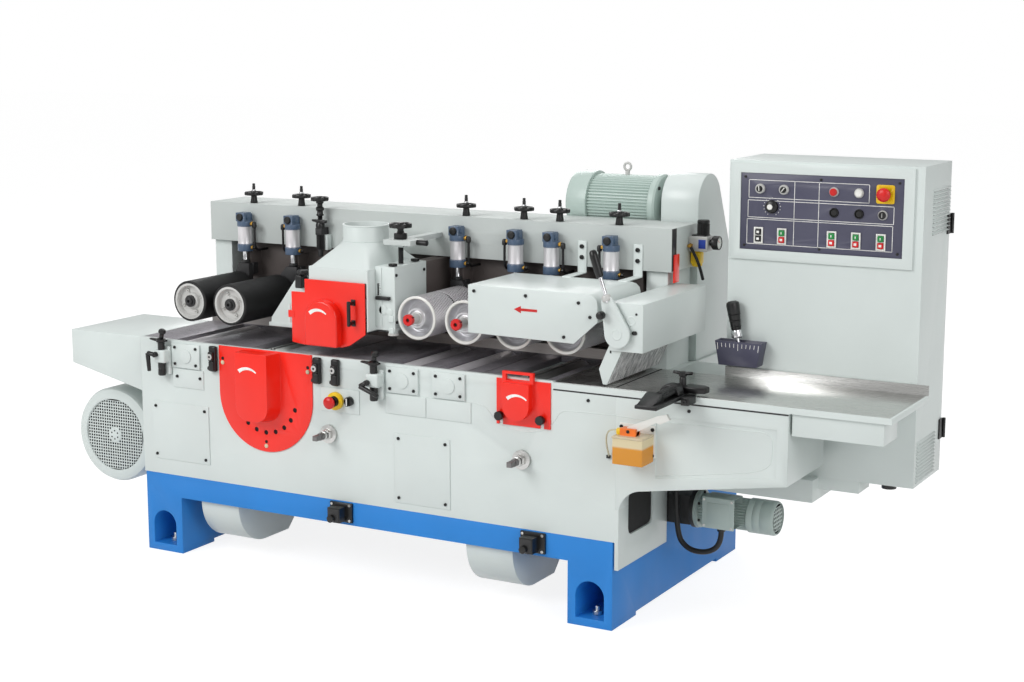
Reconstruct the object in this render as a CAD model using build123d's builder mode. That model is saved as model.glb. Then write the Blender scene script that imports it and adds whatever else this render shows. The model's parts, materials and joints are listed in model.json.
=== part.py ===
from build123d import *
import math
import os

# Double-sided planer in millimetres.
# +X points to the infeed end, +Y to the back, +Z up.
# The origin is the centre of the anchor bolts on the floor.

# Fits and clearances
bore_gap = 0.06
slide_gap = 0.3
run_gap = 3.0

# Base
base_length = 1782.0
base_depth = 974.0
leg_width = 150.0
leg_height = 197.0
skirt_height = 78.0
skirt_rail = 110.0
arch_width = 96.0
arch_height = 118.0
leg_floor = 25.0
foot_length = 170.0
foot_relief = 12.0
anchor_hole = 18.0
anchor_inset = 130.0
level_bolt_radius = 8.0
level_bolt_inset = 55.0
level_bolt_height = 52.0

# Body
body_overhang = 6.0
body_height = 468.0
body_depth = 960.0
body_wall = 12.0
deck_thickness = 15.0
bed_thickness = 20.0
bed_depth = 412.0
rim_depth = 15.0
end_cover_depth = 350.0
end_cover_drop = 85.0
window_inset = 68.0
window_width = 174.0
window_height = 136.0
window_radius = 26.0
window_rise = 6.0
column_width = 72.0
column_inset = 25.0
column_depth = 170.0

# Stations along the bed, as shares of half the body's length
rip_head_share = -0.4147
upper_head_share = -0.1093
lower_head_share = 0.6578
bed_roller_shares = (-0.7781, 0.1784, 0.3657)
feed_roller_shares = (-0.8205, -0.6332, 0.1873, 0.3802, 0.5753, 0.7704)
cylinder_offsets = (18.0, 54.0, -22.0, 21.0, -24.0, 11.0)
rubber_count = 2

# Bed rollers and lower heads
bed_roller_radius = 49.7
bed_roller_drop = 49.5
bed_shaft_radius = 14.0
bed_slot = 106.0
head_slot = 140.0
cutter_radius = 60.0
cutter_front = 42.0
cutter_back_inset = 46.0
spindle_radius = 22.0
hanger_width = 110.0
hanger_depth = 34.0
bearing_plate_width = 116.0
bearing_plate_height = 82.0
bearing_plate_thickness = 8.0

# Feed rollers
roller_radius = 69.0
roller_front = 70.0
roller_length = 275.0
roller_rise = 124.0
steel_roller_lift = 15.0
roller_shaft_radius = 16.0
roller_shaft_length = 24.0
sleeve_thickness = 9.0
roller_recess = 20.0
stub_radius = 14.0
stub_length = 46.0
cap_radius = 18.0
cap_length = 16.0

# Carriages and air cylinders
carriage_thickness = 24.0
carriage_boss = 40.0
carriage_pad = 44.0
carriage_pad_rise = 222.0
carriage_pad_height = 30.0
cheek_depth = 24.0
cheek_width = 12.0
guide_width = 28.0
press_travel = 30.0
rod_radius = 9.0
piston_radius = 20.0
piston_height = 12.0
cylinder_radius = 25.0
cylinder_cap_radius = 27.0
cylinder_cap_height = 24.0
cylinder_length = 64.0
cylinder_beam_gap = 5.0
clevis_width = 36.0
clevis_length = 40.0
clevis_height = 30.0
clevis_pin_radius = 11.0
elbow_size = 12.0
hose_radius = 4.0

# Feed beam and drive housing
beam_inset = 5.0
beam_depth = 200.0
beam_height = 135.0
beam_clear = 292.0
beam_wall = 6.0
housing_end_gap = 20.0
housing_carriage_gap = 60.0
housing_bed_gap = 20.0
housing_back_inset = 2.0
housing_wall = 8.0

# Handwheels on the beam
wheel_inset = 24.0
wheel_radius = 34.0
wheel_hub_radius = 12.0
wheel_hub_height = 28.0
wheel_rim = 6.0
wheel_screw_radius = 6.0
wheel_stub_height = 30.0

# Upper head
hood_width = 225.0
hood_front = 27.0
hood_back = 340.0
hood_wall = 5.0
hood_drop = 30.0
hood_box_height = 212.0
hood_shoulder = 42.0
port_radius = 75.0
port_wall = 3.0
shoe_length = 240.0
shoe_rise = 26.0
shoe_thickness = 12.0
shoe_front = 130.0
port_depth = 190.0
port_height = 53.0
hood_top_rise = 410.0
slide_width = 72.0
slide_front = 72.0
slide_back = 260.0
slide_bottom_rise = 90.0
slide_top_rise = 293.0
head_travel = 50.0
head_screw_radius = 9.0
head_wheel_radius = 38.0
head_wheel_rise = 408.0
upper_cutter_rise = 108.0
screw_plate_rise = 355.0
screw_plate_thickness = 16.0
screw_arm_width = 34.0
door_thickness = 5.0
door_gap = 1.5
dome_radius = 62.0
dome_height = 34.0
hinge_radius = 5.0
hinge_pin_radius = 2.5
hinge_reach = 75.5

# Roller cover
cover_front = 3.0
cover_back = 300.0
cover_sheet = 4.0
cover_roller_gap = 53.0
cover_hood_gap = 39.0
cover_top_rise = 270.0
cover_bottom_rise = 122.0
strap_insets = (192.0, 53.0)
strap_width = 32.0
strap_sheet = 4.0

# Infeed hood, lever and kick-back fingers
infeed_hood_width = 107.0
infeed_hood_front = 4.0
infeed_hood_lap = 48.0
infeed_hood_rise = 109.0
infeed_hood_height = 142.0
infeed_hood_sheet = 5.0
lever_inset = 32.0
lever_rise = 161.0
lever_shaft_radius = 10.0
lever_plate = 10.0
finger_count = 26
finger_length = 157.0
finger_thickness = 9.0
finger_hub_radius = 19.0

# Infeed end
bracket_length = 533.0
bracket_depth = 300.0
bracket_wall = 12.0
bracket_end_height = 210.0
bracket_root_height = 347.0
arm_drop = 263.0
arm_height = 68.0
arm_length = 503.0
cradle_length = 124.0
cradle_depth = 98.0
cradle_height = 36.0
arm_back_inset = 19.0
table_head_gap = 100.0
table_reach = 827.0
table_depth = 350.0
table_thickness = 17.0
strip_height = 30.0
strip_thickness = 6.0
guide_offset = 197.0
guide_half = 34.0
guide_base = 12.0
guide_reach = 222.0
apron_gap = 7.0
apron_inset = 24.0
apron_height = 64.0
apron_depth = 120.0
apron_sheet = 5.0

# Outfeed extension
outfeed_length = 309.0
outfeed_depth = 379.0
outfeed_sheet = 6.0
outfeed_end_height = 117.0
outfeed_root_height = 187.0

# Control cabinet
cabinet_reach = 199.0
cabinet_width = 591.0
cabinet_table_gap = 2.0
cabinet_depth = 267.0
cabinet_height = 934.0
cabinet_wall = 4.0
frame_inset = 8.0
frame_width = 556.0
frame_top_inset = 6.0
frame_height = 288.0
frame_border = 30.0
frame_thickness = 8.0
panel_thickness = 5.0
button_radius = 9.0
button_length = 14.0
mushroom_radius = 20.0
button_offsets = (89.0, 162.0, 315.0, 388.0, 462.0)
start_button_rise = 84.0
stop_button_rise = 64.0
lamp_row_rise = 212.0
estop_offset = 471.0
door_sheet = 4.0
cabinet_hinge_height = 60.0
cabinet_hinge_step = 18.0

# Depth lever on the cabinet
quadrant_inset = 56.0
quadrant_rise = 41.0
quadrant_height = 73.0
quadrant_foot_width = 122.0
quadrant_head_width = 148.0
quadrant_depth = 48.0
quadrant_sheet = 4.0
depth_pivot_rise = 19.0
depth_pin_radius = 6.0
depth_lever_tilt = 10.0

# Motors
motor_beam_gap = 2.0
motor_beam_rise = 39.0
feed_motor_radius = 103.0
feed_motor_length = 322.0
feed_fan_length = 78.0
feed_shield_length = 26.0
feed_shaft_length = 24.0
feed_foot_inset = 96.0
feed_foot_width = 182.0
feed_foot_half = 54.0
pedestal_margin = 3.0
eye_inset = 139.0
guard_width = 130.0
guard_inset = 9.0
guard_radius = 92.0
guard_back_inset = 45.0
guard_sheet = 4.0
guard_rise = 109.0
guard_shoulder_drop = 343.0
spindle_motor_reach = 221.0
spindle_motor_rise = 80.0
spindle_motor_radius = 150.0
spindle_fan_radius = 168.0
spindle_motor_front = 100.0
spindle_motor_back = 530.0
gear_motor_depth = 400.0
gear_motor_drop = 92.0
gear_motor_radius = 50.0
gear_flange_radius = 62.0
gear_box_size = 92.0
gear_box_length = 88.0
gear_motor_length = 274.0

# Free conduit of the gear motor
conduit_radius = 8.5
conduit_gland_radius = 13.0
conduit_depth = 325.0
conduit_start_reach = 54.0
conduit_end_reach = 206.0
conduit_hang = 210.0

# Front guards and fittings
guard_plate = 4.0
rip_guard_width = 375.0
rip_guard_straight = 152.0
bulge_width = 126.0
bulge_height = 224.0
bulge_depth = 62.0
bulge_radius = 48.0
bulge_offset = -11.0
guard_hole_ring = 122.5
head_cover_width = 185.0
head_cover_height = 142.0
head_cover_slot = 13.0
head_cover_lift = 120.0
cover_knob_radius = 13.0
cover_stem_radius = 5.0
front_estop_drop = 119.0
adjuster_drop = 231.0
oil_reach = 30.0
oil_length = 95.0
oil_drop = 185.0
oil_height = 82.0
oil_pump_depth = 84.0
oil_lever_depth = 50.0
oil_pivot_inset = 41.0
oil_pivot_rise = 14.0
oil_pin_radius = 5.0
chute_width = (157.0, 166.0)
chute_drop = 150.0
chute_front = 18.0
chute_back = 330.0
chute_sheet = 3.0
screw_radius = 5.0
screw_head = 4.0

# Derived places
base_half = base_length / 2
base_top = leg_height + skirt_height
leg_centre = base_half - leg_width / 2
body_half = base_half + body_overhang
bed_top = base_top + body_height
deck_top = bed_top - bed_thickness
deck_bottom = deck_top - deck_thickness
rip_head_x = rip_head_share * body_half
upper_head_x = upper_head_share * body_half
lower_head_x = lower_head_share * body_half
bed_roller_x = [share * body_half for share in bed_roller_shares]
feed_roller_x = [share * body_half for share in feed_roller_shares]
cylinder_x = [x + offset for x, offset in zip(feed_roller_x, cylinder_offsets)]
bed_roller_z = bed_top - bed_roller_drop
cutter_back = bed_depth - cutter_back_inset
lower_head_z = bed_top - cutter_radius - slide_gap
hanger_front = cutter_back + run_gap
roller_back = roller_front + roller_length
carriage_front = roller_back + run_gap
carriage_back = carriage_front + carriage_thickness
cylinder_depth = carriage_front + carriage_thickness / 2
beam_front = cylinder_depth + cylinder_cap_radius + cylinder_beam_gap
beam_back = beam_front + beam_depth
beam_half = body_half - beam_inset
beam_bottom = bed_top + beam_clear
beam_top = beam_bottom + beam_height
wheel_depth = beam_front + wheel_inset
pad_top = bed_top + carriage_pad_rise
barrel_bottom = beam_bottom - 3
cap_bottom = barrel_bottom - cylinder_cap_height
barrel_top = barrel_bottom + cylinder_length
clevis_bottom = barrel_top + cylinder_cap_height - 8
hood_left = upper_head_x - hood_width / 2
hood_right = upper_head_x + hood_width / 2
hinge_x = hood_left - hinge_reach
hood_bottom = bed_top + hood_drop
hood_box_top = hood_bottom + hood_box_height
hood_shoulder_top = hood_box_top + hood_shoulder
hood_top = bed_top + hood_top_rise
slide_left = hood_right
slide_right = slide_left + slide_width
slide_x = (slide_left + slide_right) / 2
slide_depth = (slide_front + slide_back) / 2
slide_bottom = bed_top + slide_bottom_rise
slide_top = bed_top + slide_top_rise
screw_plate_z = bed_top + screw_plate_rise
upper_cutter_z = bed_top + upper_cutter_rise
cover_top = bed_top + cover_top_rise
cover_bottom = bed_top + cover_bottom_rise
infeed_hood_bottom = bed_top + infeed_hood_rise
infeed_hood_top = infeed_hood_bottom + infeed_hood_height
infeed_hood_left = body_half - column_inset
infeed_hood_right = infeed_hood_left + infeed_hood_width
infeed_hood_back = bed_depth + infeed_hood_lap
cover_left = feed_roller_x[3] + cover_roller_gap
cover_right = infeed_hood_left - cover_hood_gap
strap_x = (cover_left + strap_insets[0], cover_right - strap_insets[1])
lever_x = infeed_hood_left + lever_inset
lever_z = bed_top + lever_rise
column_front = bed_depth
column_back = column_front + column_depth
left_column = -body_half + 7
right_column = infeed_hood_left - column_width
housing_half = right_column - housing_end_gap
housing_front = max(carriage_back + housing_carriage_gap, bed_depth + housing_bed_gap)
housing_back = beam_back - housing_back_inset
table_top = deck_top + table_thickness
table_left = lower_head_x + table_head_gap
table_right = body_half + table_reach
bracket_right = body_half + bracket_length
bracket_end = deck_top - bracket_end_height
bracket_root = deck_top - bracket_root_height
apron_left = bracket_right + apron_gap
apron_right = table_right - apron_inset
outfeed_left = -body_half - outfeed_length
cabinet_left = body_half + cabinet_reach
cabinet_right = cabinet_left + cabinet_width
cabinet_front = table_depth + cabinet_table_gap
cabinet_back = cabinet_front + cabinet_depth
arm_top = deck_top - arm_drop
arm_bottom = arm_top - arm_height
arm_right = body_half + arm_length
arm_back = cabinet_back - arm_back_inset
cabinet_top = arm_top + cabinet_height
frame_left = cabinet_left + frame_inset
frame_right = frame_left + frame_width
frame_top = cabinet_top - frame_top_inset
frame_bottom = frame_top - frame_height
button_columns = [frame_left + offset for offset in button_offsets]
start_button_z = frame_bottom + start_button_rise
stop_button_z = frame_bottom + stop_button_rise
lamp_row_z = frame_bottom + lamp_row_rise
estop_x = frame_left + estop_offset
cabinet_hinge_z = (arm_top + 100, cabinet_top - 214)
quadrant_x = cabinet_left + quadrant_inset
quadrant_bottom = table_top + quadrant_rise
quadrant_top = quadrant_bottom + quadrant_height
depth_pivot_z = quadrant_bottom + depth_pivot_rise
end_cover_top = bracket_root - slide_gap
end_cover_bottom = base_top - end_cover_drop
window_middle = base_top + window_rise + window_height / 2
guard_right = body_half - guard_inset
guard_left = guard_right - guard_width
guard_back = body_depth - guard_back_inset
feed_motor_right = guard_left - feed_shaft_length
feed_motor_left = feed_motor_right - feed_motor_length
feed_motor_depth = max(beam_back, column_back) + motor_beam_gap + feed_motor_radius
feed_motor_z = beam_top + motor_beam_rise
feed_foot_left = feed_motor_left + feed_foot_inset
feed_foot_right = feed_foot_left + feed_foot_width
pedestal_top = feed_motor_z - feed_motor_radius - 20
guard_front = feed_motor_depth - guard_radius
guard_top = feed_motor_z + guard_rise
guard_shoulder = guard_top - guard_shoulder_drop
spindle_motor_x = -body_half - spindle_motor_reach
spindle_motor_z = base_top + spindle_motor_rise
gear_motor_z = arm_bottom - gear_motor_drop
gear_flange_x = body_half + gear_box_length
gear_motor_end = gear_flange_x + gear_motor_length
conduit_start_x = body_half + conduit_start_reach
conduit_end_x = body_half + conduit_end_reach
oil_left = body_half + oil_reach
oil_right = oil_left + oil_length
oil_bottom = deck_top - oil_drop
oil_top = oil_bottom + oil_height
oil_pivot_x = oil_left + oil_pivot_inset
oil_pivot_z = oil_top + oil_pivot_rise
rip_guard_left = rip_head_x - rip_guard_width / 2
rip_guard_right = rip_head_x + rip_guard_width / 2
latch_x = (rip_guard_left - 21, rip_guard_right + 23.5, rip_guard_right + 94.5)
clamp_x = (bed_roller_x[0] - 88, bed_roller_x[1] - 94)
front_estop_x = upper_head_x + 6
front_estop_z = deck_top - front_estop_drop
adjuster_x = (upper_head_x - 24, lower_head_x - 5)
adjuster_z = deck_top - adjuster_drop
base_box_x = (upper_head_x + 20, lower_head_x + 35)
chute_x = (rip_head_x - 218, lower_head_x - 132)
access_panels = (
    (bed_roller_x[0] - 154, bed_roller_x[0] + 87, base_top + 53, base_top + 252),
    (bed_roller_x[1] - 34, bed_roller_x[1] + 170, base_top + 24, base_top + 248),
)


def y_at(depth):
    """Y of a point that lies this far behind the front face."""
    return depth - base_depth / 2


def front_plane(depth):
    """Upright plane seen from the front: local x is X, local y is Z."""
    return Plane.XZ.offset(-y_at(depth))


def block(x0, x1, d0, d1, z0, z1, mode=Mode.ADD):
    """Add or cut a box given by its extents; d0 and d1 are depths."""
    with Locations(((x0 + x1) / 2, y_at((d0 + d1) / 2), (z0 + z1) / 2)):
        Box(x1 - x0, d1 - d0, z1 - z0, mode=mode)


def bar_x(depth, z, radius, x0, x1, mode=Mode.ADD):
    """Round bar along X."""
    with Locations(((x0 + x1) / 2, y_at(depth), z)):
        Cylinder(radius, x1 - x0, rotation=(0, 90, 0), mode=mode)


def bar_y(x, z, radius, d0, d1, mode=Mode.ADD):
    """Round bar along Y between two depths."""
    with Locations((x, y_at((d0 + d1) / 2), z)):
        Cylinder(radius, d1 - d0, rotation=(90, 0, 0), mode=mode)


def bar_z(x, depth, radius, z0, z1, mode=Mode.ADD):
    """Round bar along Z."""
    with Locations((x, y_at(depth), (z0 + z1) / 2)):
        Cylinder(radius, z1 - z0, mode=mode)


def front_shape(points, d0, d1, mode=Mode.ADD):
    """Plate with this outline, seen from the front, between two depths."""
    with BuildSketch(front_plane(d0)) as outline:
        with BuildLine():
            Polyline(*points, close=True)
        make_face()
    extrude(outline.sketch, amount=-(d1 - d0), mode=mode)


def side_shape(points, x0, x1, mode=Mode.ADD):
    """Plate with this outline of (depth, z) points between two places on X."""
    with BuildSketch(Plane.YZ.offset(x0)) as outline:
        with BuildLine():
            Polyline(*[(y_at(depth), z) for depth, z in points], close=True)
        make_face()
    extrude(outline.sketch, amount=x1 - x0, mode=mode)


os.makedirs("parts", exist_ok=True)

# Base frame
with BuildPart() as base_frame:
    block(-base_half, base_half, 0, base_depth, leg_height, base_top)
    block(
        -base_half + leg_width, base_half - leg_width, skirt_rail, base_depth - skirt_rail,
        leg_height, base_top, Mode.SUBTRACT,
    )
    for side in (-1, 1):
        leg_x = side * leg_centre
        leg_left = leg_x - leg_width / 2
        leg_right = leg_x + leg_width / 2
        block(leg_left, leg_right, 0, base_depth, 0, leg_height)
        arch_spring = leg_floor + arch_height - arch_width / 2
        block(
            leg_x - arch_width / 2, leg_x + arch_width / 2, 0, base_depth,
            leg_floor, arch_spring, Mode.SUBTRACT,
        )
        bar_y(leg_x, arch_spring, arch_width / 2, 0, base_depth, Mode.SUBTRACT)
        block(
            leg_left, leg_right, foot_length, base_depth - foot_length,
            0, foot_relief, Mode.SUBTRACT,
        )
        for depth in (anchor_inset, base_depth - anchor_inset):
            bar_z(leg_x, depth, anchor_hole / 2, 0, leg_floor, Mode.SUBTRACT)
        for depth in (level_bolt_inset, base_depth - level_bolt_inset):
            bar_z(leg_x, depth, level_bolt_radius + bore_gap, 0, leg_floor, Mode.SUBTRACT)
base_frame.part.label = "base_frame"
export_step(base_frame.part, "parts/base_frame.step")

# Machine body with deck, bearing hangers, columns and motor pedestal
with BuildPart() as machine_body:
    block(-body_half, body_half, 0, body_depth, base_top, deck_top)
    block(
        -body_half + body_wall, body_half - body_wall, body_wall, body_depth - body_wall,
        base_top, deck_bottom, Mode.SUBTRACT,
    )
    block(-body_half, table_left - slide_gap, 0, rim_depth, deck_top, bed_top)
    for x in bed_roller_x:
        block(
            x - hanger_width / 2, x + hanger_width / 2, bed_depth - hanger_depth, bed_depth,
            bed_roller_z - 40, deck_bottom,
        )
        block(
            x - bed_slot / 2, x + bed_slot / 2, rim_depth, bed_depth - hanger_depth,
            deck_bottom, deck_top, Mode.SUBTRACT,
        )
        bar_y(x, bed_roller_z, bed_shaft_radius + bore_gap, 0, body_wall, Mode.SUBTRACT)
        bar_y(
            x, bed_roller_z, bed_shaft_radius + bore_gap,
            bed_depth - hanger_depth, bed_depth, Mode.SUBTRACT,
        )
    for x in (rip_head_x, lower_head_x):
        block(
            x - head_slot / 2, x + head_slot / 2, rim_depth, hanger_front,
            deck_bottom, deck_top, Mode.SUBTRACT,
        )
        block(
            x - hanger_width / 2, x + hanger_width / 2, hanger_front, hanger_front + hanger_depth,
            lower_head_z - 50, deck_bottom,
        )
        bar_y(
            x, lower_head_z, spindle_radius + bore_gap,
            hanger_front, hanger_front + hanger_depth, Mode.SUBTRACT,
        )
    block(left_column, left_column + column_width, column_front, column_back, deck_top, beam_bottom)
    block(right_column, right_column + column_width, column_front, column_back, deck_top, beam_bottom)
    block(
        feed_foot_left - pedestal_margin, feed_foot_right + pedestal_margin,
        feed_motor_depth - feed_foot_half - pedestal_margin,
        feed_motor_depth + feed_foot_half + pedestal_margin, deck_top, pedestal_top,
    )
    block(
        body_half, body_half + bracket_wall, 0, end_cover_depth,
        end_cover_bottom, end_cover_top,
    )
    with BuildSketch(Plane.YZ.offset(body_half - body_wall)) as end_window:
        with Locations((y_at(window_inset + window_width / 2), window_middle)):
            RectangleRounded(window_width, window_height, window_radius)
    extrude(end_window.sketch, amount=body_wall + bracket_wall, mode=Mode.SUBTRACT)
    for x in adjuster_x:
        bar_y(x, adjuster_z, 12 + bore_gap, 0, body_wall, Mode.SUBTRACT)
machine_body.part.label = "machine_body"
export_step(machine_body.part, "parts/machine_body.step")

# Front plates: bearing plates and access panels
with BuildPart() as front_plates:
    for x in bed_roller_x:
        block(
            x - bearing_plate_width / 2, x + bearing_plate_width / 2, -bearing_plate_thickness, 0,
            bed_roller_z - bearing_plate_height / 2, bed_roller_z + bearing_plate_height / 2,
        )
        bar_y(x, bed_roller_z, 24, -bearing_plate_thickness - 4, -bearing_plate_thickness)
        bar_y(
            x, bed_roller_z, bed_shaft_radius + bore_gap,
            -bearing_plate_thickness + 2, 0, Mode.SUBTRACT,
        )
    for left, right, bottom, top in access_panels:
        block(left, right, -3, 0, bottom, top)
    for x, left, right in zip(bed_roller_x, (59, 64, 82), (70, 84, 78)):
        block(x - left, x + right, -3, 0, bed_roller_z - 109.5, bed_roller_z - 45.5)
    block(
        front_estop_x - 60, front_estop_x + 88, -3, 0, front_estop_z - 38, front_estop_z + 40,
    )
front_plates.part.label = "front_plates"
export_step(front_plates.part, "parts/front_plates.step")

# Bed plates between the slots, and the guide fence behind the work
slots = [(x, bed_slot) for x in bed_roller_x] + [(rip_head_x, head_slot), (lower_head_x, head_slot)]
bed_left = -body_half + 4
bed_right = table_left - slide_gap
seam_width = 6.0
bed_seams = (upper_head_x - 32, lower_head_x - 150)
slots += [(x, seam_width) for x in bed_seams]
fence_front = bed_depth - 28
fence_depth = 18.0
fence_height = 34.0
with BuildPart() as bed_plates:
    block(bed_left, bed_right, rim_depth, bed_depth, deck_top, bed_top)
    for x, width in slots:
        block(
            x - width / 2, x + width / 2, rim_depth, bed_depth - hanger_depth,
            deck_top, bed_top, Mode.SUBTRACT,
        )
    for left, right in ((bed_left, rip_head_x - 128), (upper_head_x - 12, bed_right)):
        block(left, right, fence_front, fence_front + fence_depth, bed_top, bed_top + fence_height)
bed_plates.part.label = "bed_plates"
export_step(bed_plates.part, "parts/bed_plates.step")

# Driven bed rollers
for number, x in enumerate(bed_roller_x, 1):
    with BuildPart() as bed_roller:
        bar_y(x, bed_roller_z, bed_roller_radius, rim_depth + run_gap, bed_depth - hanger_depth - run_gap)
        bar_y(x, bed_roller_z, bed_shaft_radius, -bearing_plate_thickness + 3, bed_depth)
    bed_roller.part.label = f"bed_roller_{number}"
    export_step(bed_roller.part, f"parts/bed_roller_{number}.step")


def cutter(x, z, radius, front, back, spindle_back):
    """Cutterhead with four knife gullets on its spindle, along Y."""
    bar_y(x, z, radius - 2, front, back)
    for turn in range(4):
        with BuildSketch(front_plane(front)) as gullet:
            with Locations((x, z)):
                with PolarLocations(radius, 1, start_angle=turn * 90):
                    Rectangle(26, 18)
        extrude(gullet.sketch, amount=-(back - front), mode=Mode.SUBTRACT)
        with BuildSketch(front_plane(front)) as knife:
            with Locations((x, z)):
                with PolarLocations(radius - 13, 1, start_angle=turn * 90):
                    Rectangle(26, 5)
        extrude(knife.sketch, amount=-(back - front))
    bar_y(x, z, spindle_radius, front - 12, spindle_back)


# Lower heads
with BuildPart() as lower_cutterhead:
    cutter(lower_head_x, lower_head_z, cutter_radius, cutter_front, cutter_back, hanger_front + 120)
lower_cutterhead.part.label = "lower_cutterhead"
export_step(lower_cutterhead.part, "parts/lower_cutterhead.step")

with BuildPart() as rip_arbor:
    cutter(rip_head_x, lower_head_z, cutter_radius, cutter_front, cutter_back, hanger_front + 120)
rip_arbor.part.label = "rip_arbor"
export_step(rip_arbor.part, "parts/rip_arbor.step")

# Outfeed extension: a folded sheet, open below and towards the body
with BuildPart() as outfeed_table:
    front_shape(
        [
            (outfeed_left, bed_top),
            (-body_half, bed_top),
            (-body_half, bed_top - outfeed_root_height),
            (outfeed_left, bed_top - outfeed_end_height),
        ],
        0, outfeed_depth,
    )
    block(
        outfeed_left + outfeed_sheet, -body_half, outfeed_sheet, outfeed_depth - outfeed_sheet,
        bed_top - outfeed_root_height, bed_top - outfeed_sheet, Mode.SUBTRACT,
    )
outfeed_table.part.label = "outfeed_table"
export_step(outfeed_table.part, "parts/outfeed_table.step")

# Infeed bracket with the rear arm that carries the cabinet
with BuildPart() as infeed_bracket:
    with BuildSketch(front_plane(0)) as bracket_outline:
        with BuildLine():
            arch_line = ThreePointArc(
                (body_half + bracket_wall, bracket_root),
                (body_half + bracket_wall + 28, bracket_root + 48),
                (body_half + bracket_wall + 74, bracket_root + 67),
            )
            Polyline(
                arch_line @ 1, (bracket_right, bracket_end), (bracket_right, deck_top),
                (body_half, deck_top), (body_half, bracket_root), arch_line @ 0,
            )
        make_face()
    extrude(bracket_outline.sketch, amount=-bracket_depth)
    front_shape(
        [
            (body_half + bracket_wall, bracket_root - 16),
            (bracket_right - bracket_wall, bracket_root - 16),
            (bracket_right - bracket_wall, deck_top - bracket_wall),
            (body_half + bracket_wall, deck_top - bracket_wall),
        ],
        bracket_wall, bracket_depth - bracket_wall, Mode.SUBTRACT,
    )
    front_shape(
        [
            (body_half + 130, bracket_end - 25),
            (bracket_right - 34, bracket_end + 21),
            (bracket_right - 34, deck_top - 50),
            (body_half + 130, deck_top - 50),
        ],
        0, 3, Mode.SUBTRACT,
    )
    with BuildSketch(Plane.YZ.offset(body_half)) as bracket_window:
        with Locations((y_at(window_inset + window_width / 2), window_middle)):
            RectangleRounded(window_width, window_height, window_radius)
    extrude(bracket_window.sketch, amount=bracket_wall, mode=Mode.SUBTRACT)
    block(body_half, arm_right, bracket_depth, arm_back, arm_bottom, arm_top)
    block(
        arm_right, arm_right + cradle_length, cabinet_front, cabinet_front + cradle_depth,
        arm_top - cradle_height, arm_top,
    )
    block(body_half, cabinet_left - slide_gap, bracket_depth, arm_back, arm_top, deck_top)
    block(
        body_half + bracket_wall, cabinet_left - bracket_wall, bracket_depth + bracket_wall,
        arm_back - bracket_wall, arm_bottom, deck_top - bracket_wall, Mode.SUBTRACT,
    )
    bar_z(
        conduit_start_x, conduit_depth, conduit_gland_radius,
        arm_bottom - 18, deck_top - bracket_wall,
    )
infeed_bracket.part.label = "infeed_bracket"
export_step(infeed_bracket.part, "parts/infeed_bracket.step")

# Infeed table with rim, back strip, apron and side guide
guide_x = body_half + guide_offset
with BuildPart() as infeed_table:
    block(table_left, table_right, 0, table_depth, deck_top, table_top)
    block(
        body_half + 200, table_right, table_depth - strip_thickness, table_depth,
        table_top, table_top + strip_height,
    )
    block(apron_left, apron_right, 10, 10 + apron_depth, deck_top - apron_height, deck_top)
    block(
        apron_left + apron_sheet, apron_right - apron_sheet, 10 + apron_sheet, 10 + apron_depth,
        deck_top - apron_height, deck_top - apron_sheet, Mode.SUBTRACT,
    )
    guide_top = table_top + guide_base
    block(guide_x - guide_half, guide_x + guide_half, -guide_reach, 100, table_top, guide_top)
    side_shape(
        [
            (-guide_reach, guide_top), (-guide_reach + 66, guide_top + 24),
            (-guide_reach + 84, guide_top + 24), (-guide_reach + 84, guide_top),
        ],
        guide_x - guide_half + 4, guide_x + guide_half - 14,
    )
    bar_y(guide_x + 8, guide_top + 16, 13, -guide_reach + 70, -10)
    cap_points = []
    for turn in range(13):
        cap_angle = math.radians(15 * turn)
        cap_points.append(
            (guide_x - 2 + (guide_half - 2) * math.cos(cap_angle), guide_top + 32 * math.sin(cap_angle))
        )
    front_shape(cap_points, -60, -20)
    bar_z(guide_x + 6, 20, 10, guide_top, guide_top + 50)
    bar_x(20, guide_top + 50, 6, guide_x - 24, guide_x + 36)
    block(guide_x + 12, guide_x + 86, -6, 46, guide_top, guide_top + 18)
    block(guide_x + guide_half, guide_x + guide_half + 25, -58, -6, table_top - 14, guide_top - 2)
infeed_table.part.label = "infeed_table"
export_step(infeed_table.part, "parts/infeed_table.step")

# Feed beam: an inverted channel with end plates and the screw plate of the upper head
with BuildPart() as feed_beam:
    block(-beam_half, beam_half, beam_front, beam_back, beam_bottom, beam_top)
    block(
        -beam_half + beam_wall, beam_half - beam_wall, beam_front + beam_wall, beam_back - beam_wall,
        beam_bottom, beam_top - beam_wall, Mode.SUBTRACT,
    )
    for column in (left_column, right_column):
        block(column, column + column_width, beam_front, beam_back, beam_bottom, beam_bottom + beam_wall)
    for x in cylinder_x:
        bar_z(
            x, wheel_depth, wheel_screw_radius + bore_gap,
            beam_top - beam_wall, beam_top, Mode.SUBTRACT,
        )
    block(
        slide_left - 6, slide_right + 24, slide_depth - 38, slide_depth + 44,
        screw_plate_z, screw_plate_z + screw_plate_thickness,
    )
    block(
        slide_x - screw_arm_width / 2, slide_x + screw_arm_width / 2, slide_depth + 44, beam_front,
        screw_plate_z, screw_plate_z + screw_plate_thickness,
    )
    bar_z(
        slide_x, slide_depth, head_screw_radius + bore_gap,
        screw_plate_z, screw_plate_z + screw_plate_thickness, Mode.SUBTRACT,
    )
feed_beam.part.label = "feed_beam"
export_step(feed_beam.part, "parts/feed_beam.step")

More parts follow.
